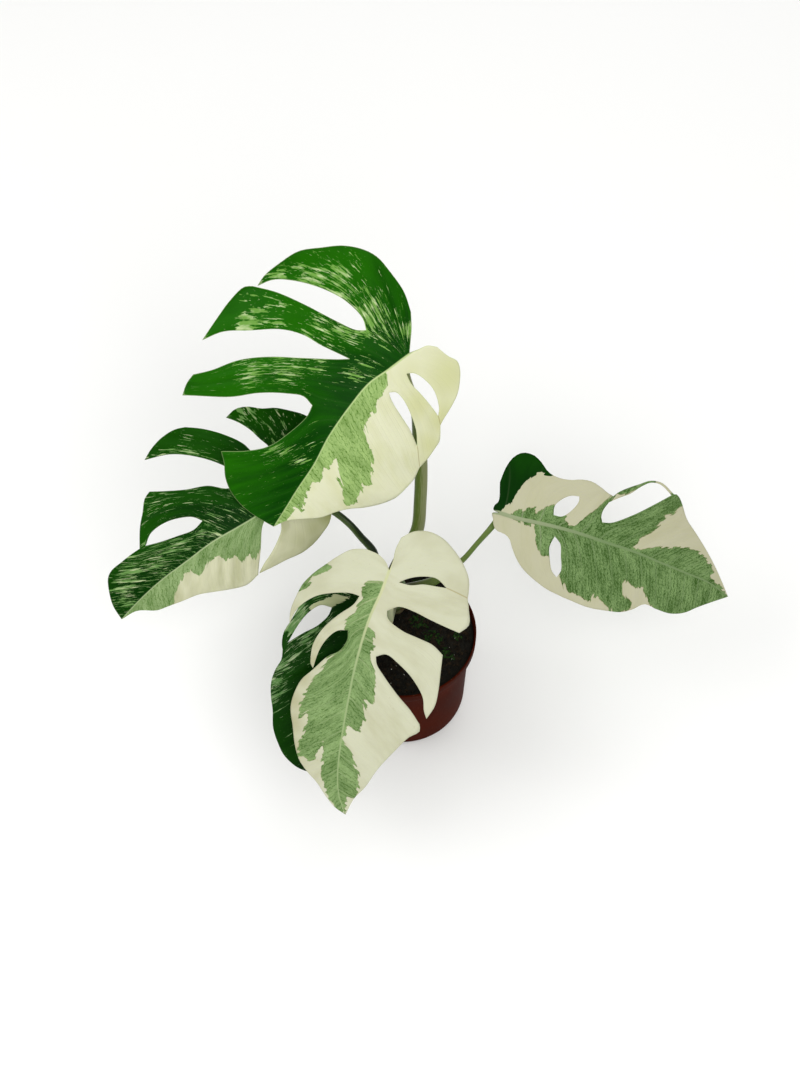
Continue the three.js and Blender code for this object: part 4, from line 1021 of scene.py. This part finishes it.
def shaped_blade(leaf, ridge_on_top):
    """The blade as points and faces in metres, with places among the veins and values for its paint."""
    flat, veins, signs, faces = blade(leaf)
    u, v = flat.T
    step = 0.05
    centre = bent(leaf, u, v)
    normal = np.cross(bent(leaf, u + step, v) - centre, bent(leaf, u, v + step) - bent(leaf, u, v - step))
    normal /= np.linalg.norm(normal, axis=1)[:, None]
    rim = rim_of(faces)
    starts = [a for a, b in rim]
    gaps = lambda some: ((some[:, None] - flat[starts][None]) ** 2).sum(-1).min(1)
    edge = np.sqrt(np.concatenate([gaps(flat[i : i + 2000]) for i in range(0, len(flat), 2000)]))
    edge[starts] = 0

    phase, out = veins.T
    quilt = QUILTING * np.clip((out - QUILT_START) / QUILT_RISE, 0, 1) * np.clip(edge / QUILT_EDGE, 0, 1)
    quilt *= np.cos(2 * np.pi * phase)
    away = np.abs(v - bow_at(leaf, u))
    taper = np.clip(1 - u / leaf["length"], 0, 1)
    rib = np.exp(-((away / (RIDGE_WIDTH_AT_TIP + RIDGE_WIDENING * taper)) ** 2)) * np.where(away < 6, 1, 0)
    depth = RIDGE_AT_TIP + (RIDGE_AT_BASE - RIDGE_AT_TIP) * taper
    half = np.where(edge < 1e-9, EDGE_HALF, np.minimum(BLADE_HALF, EDGE_HALF + EDGE_SLOPE * edge))
    above = half + quilt + rib * (ridge_on_top * taper if ridge_on_top else -RIB_GROOVE)
    below = half - quilt + rib * depth
    points = np.vstack([centre + normal * above[:, None], centre - normal * below[:, None]]) / 1000
    count = len(flat)
    closed = faces + [tuple(i + count for i in reversed(face)) for face in faces]
    closed += [(a, a + count, b + count, b) for a, b in rim]
    values = {
        "crease": crease_of(leaf, flat, signs), "sage": zone_field(leaf, "sage", flat, signs),
        "green": zone_field(leaf, "green", flat, signs), "edge": edge, "rib": away,
        "along": u / leaf["length"], "streaks": spread_of(leaf, "streaks", flat, signs),
        "shade": spread_of(leaf, "shade", flat, signs),
    }
    return points, closed, veins, values


def value_of(tree, name):
    """One of the values that a piece carries for its paint."""
    return add_node(tree, "Attribute", attribute_name=name)["Fac"]


def drawn_out(tree, place, seed, across, outward, detail=2, offset=0, roughness=0.5):
    """Noise drawn out along the veins."""
    scaled = add_node(tree, "VectorMath", {0: place, 1: (across, outward, 1)}, operation="MULTIPLY")[0]
    moved = add_node(tree, "CombineXYZ", {"X": offset, "Z": seed})[0]
    spot = add_node(tree, "VectorMath", {0: scaled, 1: moved}, operation="ADD")[0]
    given = {"Vector": spot, "Scale": 1, "Detail": detail, "Roughness": roughness}
    return add_node(tree, "TexNoise", given)["Fac"]


LEAF_SHADES = (
    "Cream", "Cream shade", "Sage", "Sage shade", "Green", "Green shade", "Streak", "Streak shade", "Rib",
    "Rib at base",
)
LEAF_AMOUNTS = ("Rib width", "Side veins", "Jag", "Fine lines", "Grain", "Marks", "Streaking", "Margin")


def leaf_colours():
    """The node group of a blade's colours: cream, grey-green and green, with streaks, veins and edge."""
    tree, given = pattern_group("leaf_colours", LEAF_SHADES, (*LEAF_AMOUNTS, "Seed"), ("Height", "Gloss"))
    veins = add_node(tree, "UVMap", uv_map="veins")["UV"]
    parts = add_node(tree, "SeparateXYZ", {0: veins})
    across, outward = parts["X"], parts["Y"]
    scratch_and_crease_shade_brown, border_brown = colour(150, 134, 84), colour(120, 108, 66)
    mix, span = functools.partial(mixed, tree), functools.partial(between, tree)
    noise = functools.partial(drawn_out, tree, veins, given["Seed"])
    maths = lambda kind, *terms: add_node(tree, "Math", enumerate(terms), operation=kind)[0]
    plus = lambda *terms: functools.reduce(functools.partial(maths, "ADD"), terms)
    times = lambda *terms: functools.reduce(functools.partial(maths, "MULTIPLY"), terms)
    most = lambda *terms: functools.reduce(functools.partial(maths, "MAXIMUM"), terms)
    less = functools.partial(maths, "SUBTRACT")
    off_middle = lambda value: less(value, 0.5)
    off_line = lambda value: maths("ABSOLUTE", off_middle(maths("FRACT", value)))
    along = value_of(tree, "along")

    # The jagged steps: each narrow strip between two fine veins ends at its own distance
    steps = []
    for width, amount in ((5.0, 1.5), (13.0, 0.5)):
        wander = plus(times(across, width), times(noise(3, 0.16, 1, 3.1), 1.6))
        strip = {"X": maths("FLOOR", wander), "Y": plus(given["Seed"], width)}
        corner = add_node(tree, "CombineXYZ", strip)[0]
        own = add_node(tree, "TexWhiteNoise", {"Vector": corner}, noise_dimensions="2D")["Value"]
        steps.append(times(off_middle(own), amount))
    ragged = times(off_middle(noise(9, 0.4, 3, 8.2)), 0.6)
    jag = times(plus(*steps, ragged), given["Jag"])
    sage_depth = plus(value_of(tree, "sage"), jag)
    in_sage = span(sage_depth, -0.1, 0.1)
    in_green = span(plus(value_of(tree, "green"), jag), -0.1, 0.1)

    # Cream: soft clouds drawn out along the veins, painted shade at each leaf's listed shade spots, and a few
    # brown scratches
    clouds = times(span(noise(1.1, 0.03, 3, 1.7), 0.42, 0.72), 0.5)
    cream = mix(most(clouds, value_of(tree, "shade")), given["Cream"], given["Cream shade"])
    rare = span(noise(0.9, 0.04, 1, 4.9), 0.55, 0.6)
    nicks = span(noise(10, 0.55, 2, 6.1), 0.72, 0.75)
    cream = mix(times(rare, nicks, given["Marks"]), cream, scratch_and_crease_shade_brown)

    # Grey-green: broken dark lines between the fine veins, a net across them, a grain and paler veins
    comb = off_line(plus(times(across, 4.6), times(noise(3, 0.3, 5, 2.6), 1.7)))
    comb_lines = times(span(comb, 0.04, 0.12, 1, 0), span(noise(5, 0.12, 2, 9.9), 0.42, 0.5))
    stretch = add_node(tree, "VectorMath", {0: veins, 1: (9, 0.12, 1)}, operation="MULTIPLY")[0]
    shake = add_node(tree, "CombineXYZ", {"X": times(noise(10, 0.7, 2, 5.5), 0.7)})[0]
    shaken = add_node(tree, "VectorMath", {0: stretch, 1: shake}, operation="ADD")[0]
    net = add_node(tree, "TexVoronoi", {"Vector": shaken, "Scale": 1}, feature="DISTANCE_TO_EDGE")
    net_lines = times(span(net["Distance"], 0.01, 0.1, 0.65, 0), span(noise(4, 0.2, 2, 7.3), 0.46, 0.6))
    lines = times(most(comb_lines, net_lines), given["Fine lines"])
    speckle = times(span(noise(19, 0.75, 3, 2.2), 0.44, 0.62), given["Grain"])
    broad = span(noise(1.7, 0.05, 3, 6.4), 0.36, 0.68, 0, 0.5)
    darker = maths("MINIMUM", plus(lines, speckle, broad), 1.0)
    sage = mix(darker, given["Sage"], given["Sage shade"])

    # Green: brighter outwards, splashed and streaked with cream and light green where the streaks are dense
    cluster = times(off_middle(noise(2.2, 0.04, 2, 3.7)), 1.4)
    dense = most(plus(value_of(tree, "streaks"), cluster, given["Streaking"]), -1.0)
    splash = span(plus(noise(5.4, 0.042, 6, 4.4, 0.56), times(dense, 0.17)), 0.688, 0.694)
    streak = span(plus(noise(15, 0.07, 5, 7.7, 0.55), times(dense, 0.15)), 0.668, 0.676)
    dots = span(plus(noise(24, 0.28, 4, 0.4), times(dense, 0.14)), 0.7, 0.712)
    tone = span(noise(7, 0.1, 3, 2.9), 0.32, 0.52)
    bands = times(off_middle(noise(1.6, 0.02, 3, 5.1)), 1.6)
    bright = span(plus(span(outward, 12, 85, 0.1, 0.95), bands), 0, 1)
    streaked = most(splash, times(streak, 0.9), times(dots, 0.6))
    greens = mix(bright, given["Green shade"], given["Green"])
    green = mix(streaked, greens, mix(tone, given["Streak"], given["Streak shade"]))
    area = mix(in_green, mix(in_sage, cream, sage), green)

    # A thin brown line where the grey-green ends, and painted shade along the creases
    border = span(maths("ABSOLUTE", maths("MINIMUM", sage_depth, 3.0)), 0.05, 0.4, 0.55, 0)
    area = mix(times(border, given["Marks"], less(1.0, in_green)), area, border_brown)
    crease = times(span(value_of(tree, "crease"), 0.15, 0.75, 0.6, 0), less(1.0, in_sage))
    area = mix(crease, area, scratch_and_crease_shade_brown)

    # The pale midrib, side veins that fade outwards, and a pale edge
    wobble = plus(value_of(tree, "rib"), times(off_middle(noise(4, 0.5, 1, 3.3)), 0.3))
    narrowing = times(given["Rib width"], span(along, 0, 1, 1.2, 0.3))
    on_rib = span(less(wobble, narrowing), -0.35, 0.4, 1, 0)
    vein = times(span(off_line(across), 0.015, 0.055, 1, 0), span(outward, 2, 55, 1, 0), given["Side veins"])
    vein = times(vein, span(less(in_sage, in_green), 0, 1, 0.12, 1))
    margin = times(span(value_of(tree, "edge"), 0.2, 0.6, 1, 0), given["Margin"])
    pale = maths("MINIMUM", most(on_rib, vein, margin), 1.0)
    rib_shade = mix(span(along, 0.08, 0.4), given["Rib at base"], given["Rib"])

    # Relief: fine side veins sunk into the face, and a faint grain
    grooves = times(span(off_line(times(across, 4.0)), 0, 0.16), span(outward, 2, 20))
    relief = plus(times(grooves, 0.6), times(noise(30, 2.2, 2, 1.1), 0.35))
    gloss = span(noise(2.0, 0.06, 2, 8.8), 0.3, 0.7)
    add_node(tree, "NodeGroupOutput", {
        "Colour": mix(pale, area, rib_shade), "Height": relief, "Gloss": gloss})
    return tree


LEAF_COLOURS = leaf_colours()
SKIN_GRAIN = 0.0003  # how deep the relief of the skin is, in metres
# Each leaf's shades and amounts, in the order of LEAF_SHADES and LEAF_AMOUNTS, and then its roughness
# The four lower leaves' creams are darker than the top leaf's: painted shade for the less light that falls on
# them.
PALETTES = {
    "top": (
        [(218, 219, 187), (202, 204, 152), (162, 191, 118), (88, 124, 50), (26, 92, 0), (6, 57, 0),
         (186, 203, 150), (106, 152, 66), (176, 200, 134), (184, 202, 140)],
        [0.5, 0.1, 2.0, 0.8, 0.15, 0.2, -0.08, 0.4], 0.36,
    ),
    "left": (
        [(202, 202, 170), (138, 142, 86), (142, 166, 112), (84, 116, 56), (18, 70, 0), (4, 44, 0),
         (180, 192, 146), (100, 140, 74), (166, 184, 136), (150, 174, 116)],
        [0.5, 0.2, 1.8, 0.8, 0.3, 0.1, -0.02, 0.2], 0.38,
    ),
    "front": (
        [(196, 197, 171), (172, 170, 136), (135, 161, 105), (72, 102, 48), (34, 88, 8), (20, 66, 6),
         (180, 200, 140), (104, 146, 76), (148, 167, 118), (192, 195, 152)],
        [0.85, 0.45, 1.8, 0.75, 0.3, 0.5, 0.0, 0.1], 0.5,
    ),
    "low": (
        [(172, 176, 138), (120, 134, 92), (128, 150, 104), (84, 116, 60), (16, 60, 2), (6, 40, 2),
         (160, 174, 136), (86, 122, 68), (86, 118, 62), (86, 118, 62)],
        [0.5, 0.12, 1.8, 0.7, 0.3, 0.0, -0.12, 0.1], 0.4,
    ),
    "right": (
        [(180, 178, 150), (170, 168, 132), (120, 147, 93), (52, 82, 30), (14, 64, 0), (2, 40, 0),
         (150, 170, 110), (60, 100, 40), (112, 134, 90), (142, 152, 118)],
        [1.25, 0.6, 1.8, 0.7, 0.5, 0.8, -1.0, 0.0], 0.5,
    ),
}


def leaf_paint(name, seed):
    """The leathery skin of one leaf."""
    shades, amounts, rough = PALETTES[name]
    given = {"Seed": seed, **dict(zip(LEAF_AMOUNTS, amounts))}
    given.update((label, colour(*shade)) for label, shade in zip(LEAF_SHADES, shades))
    material, tree, pattern, shader = patterned(
        "leaf_skin_" + name, rough, LEAF_COLOURS, given, SKIN_GRAIN, 0.4)
    fed(shader, {
        "Roughness": between(tree, pattern["Gloss"], 0, 1, rough - 0.05, rough + 0.1), "IOR": 1.14,
        "Specular IOR Level": 0.35, "Subsurface Weight": 0.04, "Subsurface Scale": 0.001,
        "Subsurface Radius": (0.8, 1.0, 0.3),
    })
    return material


def charted(made, layer, places, values):
    """Gives a piece its UV map and the values that its paint reads, point by point."""
    mesh = made.data
    corners = np.empty(len(mesh.loops), int)
    mesh.loops.foreach_get("vertex_index", corners)
    mesh.uv_layers.new(name=layer).data.foreach_set("uv", places[corners].ravel().astype(np.float32))
    for label, numbers in values.items():
        carried = mesh.attributes.new(label, "FLOAT", "POINT")
        carried.data.foreach_set("value", numbers.astype(np.float32))


for seed, (name, leaf) in enumerate(LEAVES.items()):
    points, faces, veins, values = shaped_blade(leaf, RIDGE_ON_TOP.get(name, 0))
    made = mesh_object("blade_" + name, points, faces, leaf_paint(name, seed * 7.3))
    both = {label: np.tile(numbers, 2) for label, numbers in values.items()}
    charted(made, "veins", np.tile(veins, (2, 1)), both)
    finished(made, "leaf_" + name)

# PETIOLES
# Each leaf hangs on a smooth round stalk that leaves the stem in a broad sheath, thins, and swells again
# where it turns up into the blade.
STALK_SIDES = 24
RING_GAP = 1.6
SEAT_AT = 2.0  # how far along the midrib the stalk meets the blade
BELOW_BLADE, TIP_DEPTH = 2.98, 0.6  # how far below the blade's middle the stalk proper and its tip end
JOINT, JOINT_FADE = 22, 16
FOOT, FOOT_FADE = 46, 26

PETIOLES = {
    "top": {
        "route": [
            [-7, 27, 134], [-6, 29, 145], [2, 41, 157], [11.5, 54, 170], [14, 70, 191], [14.5, 86, 215],
            [12.5, 97, 240], [10.8, 103, 262], [2.2, 113.5, 289],
        ],
        "radii": [6.8, 6.6, 6, 5.2, 5.1, 5.1, 5.1, 4.8, 4.2, 4.2, 4.2, 4],
        "Left": (78, 97, 34), "Right": (116, 122, 82), "Joint": (84, 118, 44),
    },
    "left": {
        "route": [
            [-8, 27.5, 112], [-19, 32, 118], [-22, 36, 136], [-23, 41, 158], [-33, 45, 175],
            [-41, 50, 184.5], [-51, 56.5, 190], [-63, 63, 194], [-74, 70, 202],
        ],
        "radii": [6, 5.4, 3.8, 3.2, 2.9, 2.8, 2.8, 2.8, 3, 3.2, 3.2, 2.8],
        # On this stalk the left colour is a painted lit side and the right colour a painted shaded side
        "Left": (70, 90, 44), "Right": (26, 40, 16), "Joint": (70, 92, 48),
    },
    "front": {
        "route": [
            [-7, 25, 124], [-8, 14, 128], [-10, 0, 133], [-11, -13, 144], [-10.5, -20, 164], [-10, -18, 190],
        ],
        "radii": [6, 5.4, 4.2, 3.8, 3.4, 3.2, 3.4, 3.4, 3],
        "Left": (150, 160, 122), "Right": (168, 172, 138), "Joint": (132, 150, 100),
    },
    "low": {
        "route": [[-8, 25, 104], [-16, 17, 107], [-23, 7, 117], [-29, -3, 137]],
        "radii": [5.6, 4.8, 3.6, 3, 3, 2.8, 2.4],
        "Left": (52, 92, 40), "Right": (60, 98, 46), "Joint": (80, 112, 60),
    },
    "right": {
        "route": [
            [-6, 27, 118], [6, 26, 125.5], [24, 25, 139], [46.5, 29.5, 163.5], [59.5, 37, 180],
            [69.5, 43.5, 191.5],
        ],
        "radii": [6, 5.2, 3.9, 2.2, 2, 2.4, 3, 3.1, 2.8],
        "Left": (94, 113, 56), "Right": (84, 106, 48), "Joint": (128, 146, 88),
    },
}


def petiole_colours():
    """The node group of a stalk's skin: two sides of different colour, streaked lengthwise; on the left leaf's
    stalk they are a painted lit side and a painted shaded side.
    """
    tree, given = pattern_group("petiole_colours", ("Left", "Right", "Joint", "Foot"), ["Seed"], ["Height"])
    chart = add_node(tree, "UVMap", uv_map="skin")["UV"]
    streak = drawn_out(tree, chart, given["Seed"], 7, 0.09, 4)
    terms = {0: streak, 1: 1.1, 2: value_of(tree, "side")}
    total = add_node(tree, "Math", terms, operation="MULTIPLY_ADD")[0]
    skin = mixed(tree, between(tree, total, 0.35, 0.75), given["Left"], given["Right"])
    for end in ("Joint", "Foot"):
        skin = mixed(tree, value_of(tree, end.lower()), skin, given[end])
    add_node(tree, "NodeGroupOutput", {"Colour": skin, "Height": streak})
    return tree


PETIOLE_COLOURS = petiole_colours()


def stalk(route, radii):
    """A round limb along a smooth route: points, faces, and each point's turn, length and side."""
    curve = smooth(route)
    fine = np.linspace(0, 1, 1200)
    run = run_of(curve(fine))
    rings = int(run[-1] / RING_GAP)
    spots = np.interp(np.linspace(0, 1, rings + 1) * run[-1], run, fine)
    centres = curve(spots)
    width = np.interp(spots * (len(radii) - 1), np.arange(len(radii)), radii)
    width = np.convolve(np.pad(width, 4, mode="edge"), np.ones(9) / 9, "valid")
    ahead = np.gradient(centres, axis=0)
    ahead /= np.linalg.norm(ahead, axis=1)[:, None]
    right = np.cross(ahead[0], [0, 1, 0])
    points, turns, places, facing = [], [], [], []
    for ring, (centre, direction, radius) in enumerate(zip(centres, ahead, width)):
        right = right - direction * right.dot(direction)
        right /= np.linalg.norm(right)
        up = np.cross(direction, right)
        for i in range(STALK_SIDES):
            turn = 2 * np.pi * i / STALK_SIDES
            out = right * math.cos(turn) + up * math.sin(turn)
            points.append(centre + out * radius)
            turns.append(turn)
            places.append(run[-1] * ring / rings)
            facing.append(out[0])
    at = lambda ring, i: ring * STALK_SIDES + i % STALK_SIDES
    faces = walls(at, range(rings), STALK_SIDES)
    faces += [tuple(at(0, i) for i in reversed(range(STALK_SIDES)))]
    faces += [tuple(at(rings, i) for i in range(STALK_SIDES))]
    return np.array(points), faces, np.array(turns), np.array(places), np.array(facing)


for seed, (name, petiole) in enumerate(PETIOLES.items()):
    leaf = LEAVES[name]
    seat = bent(leaf, np.array([SEAT_AT]), foot_of(leaf, SEAT_AT, 1)[1:])[0]
    start, finish = leaf["pitch"]
    pitch = np.radians([start + (finish - start) * SEAT_AT / leaf["length"]])
    normal = axes_of(leaf, pitch, np.radians(leaf["roll"][:1]))[2][0]
    end = seat - normal * BELOW_BLADE
    route = [*petiole["route"], end - normal * 12, end - normal * 6, end]
    points, faces, turns, places, facing = stalk(route, petiole["radii"])
    final = points[-STALK_SIDES:]
    points[-STALK_SIDES:] = seat - normal * TIP_DEPTH + (final - final.mean(0)) * 0.5
    given = {label: colour(*petiole[label]) for label in ("Left", "Right", "Joint")}
    given.update({"Foot": colour(58, 60, 32), "Seed": seed * 3.7})
    material, *_, shader = patterned("petiole_skin_" + name, 0.34, PETIOLE_COLOURS, given, SKIN_GRAIN, 0.3)
    fed(shader, {"IOR": 1.25, "Subsurface Weight": 0.05, "Subsurface Scale": 0.002})
    made = mesh_object("petiole_" + name + "_stalk", points / 1000, faces, material)
    near_end = np.clip((places - places.max() + JOINT) / JOINT_FADE, 0, 1)
    near_foot = np.clip((FOOT - places) / FOOT_FADE, 0, 1)
    values = {"side": facing * 0.6, "joint": near_end * 0.7, "foot": near_foot * 0.85}
    charted(made, "skin", np.stack([np.cos(turns), places], 1), values)
    finished(made, "petiole_" + name)
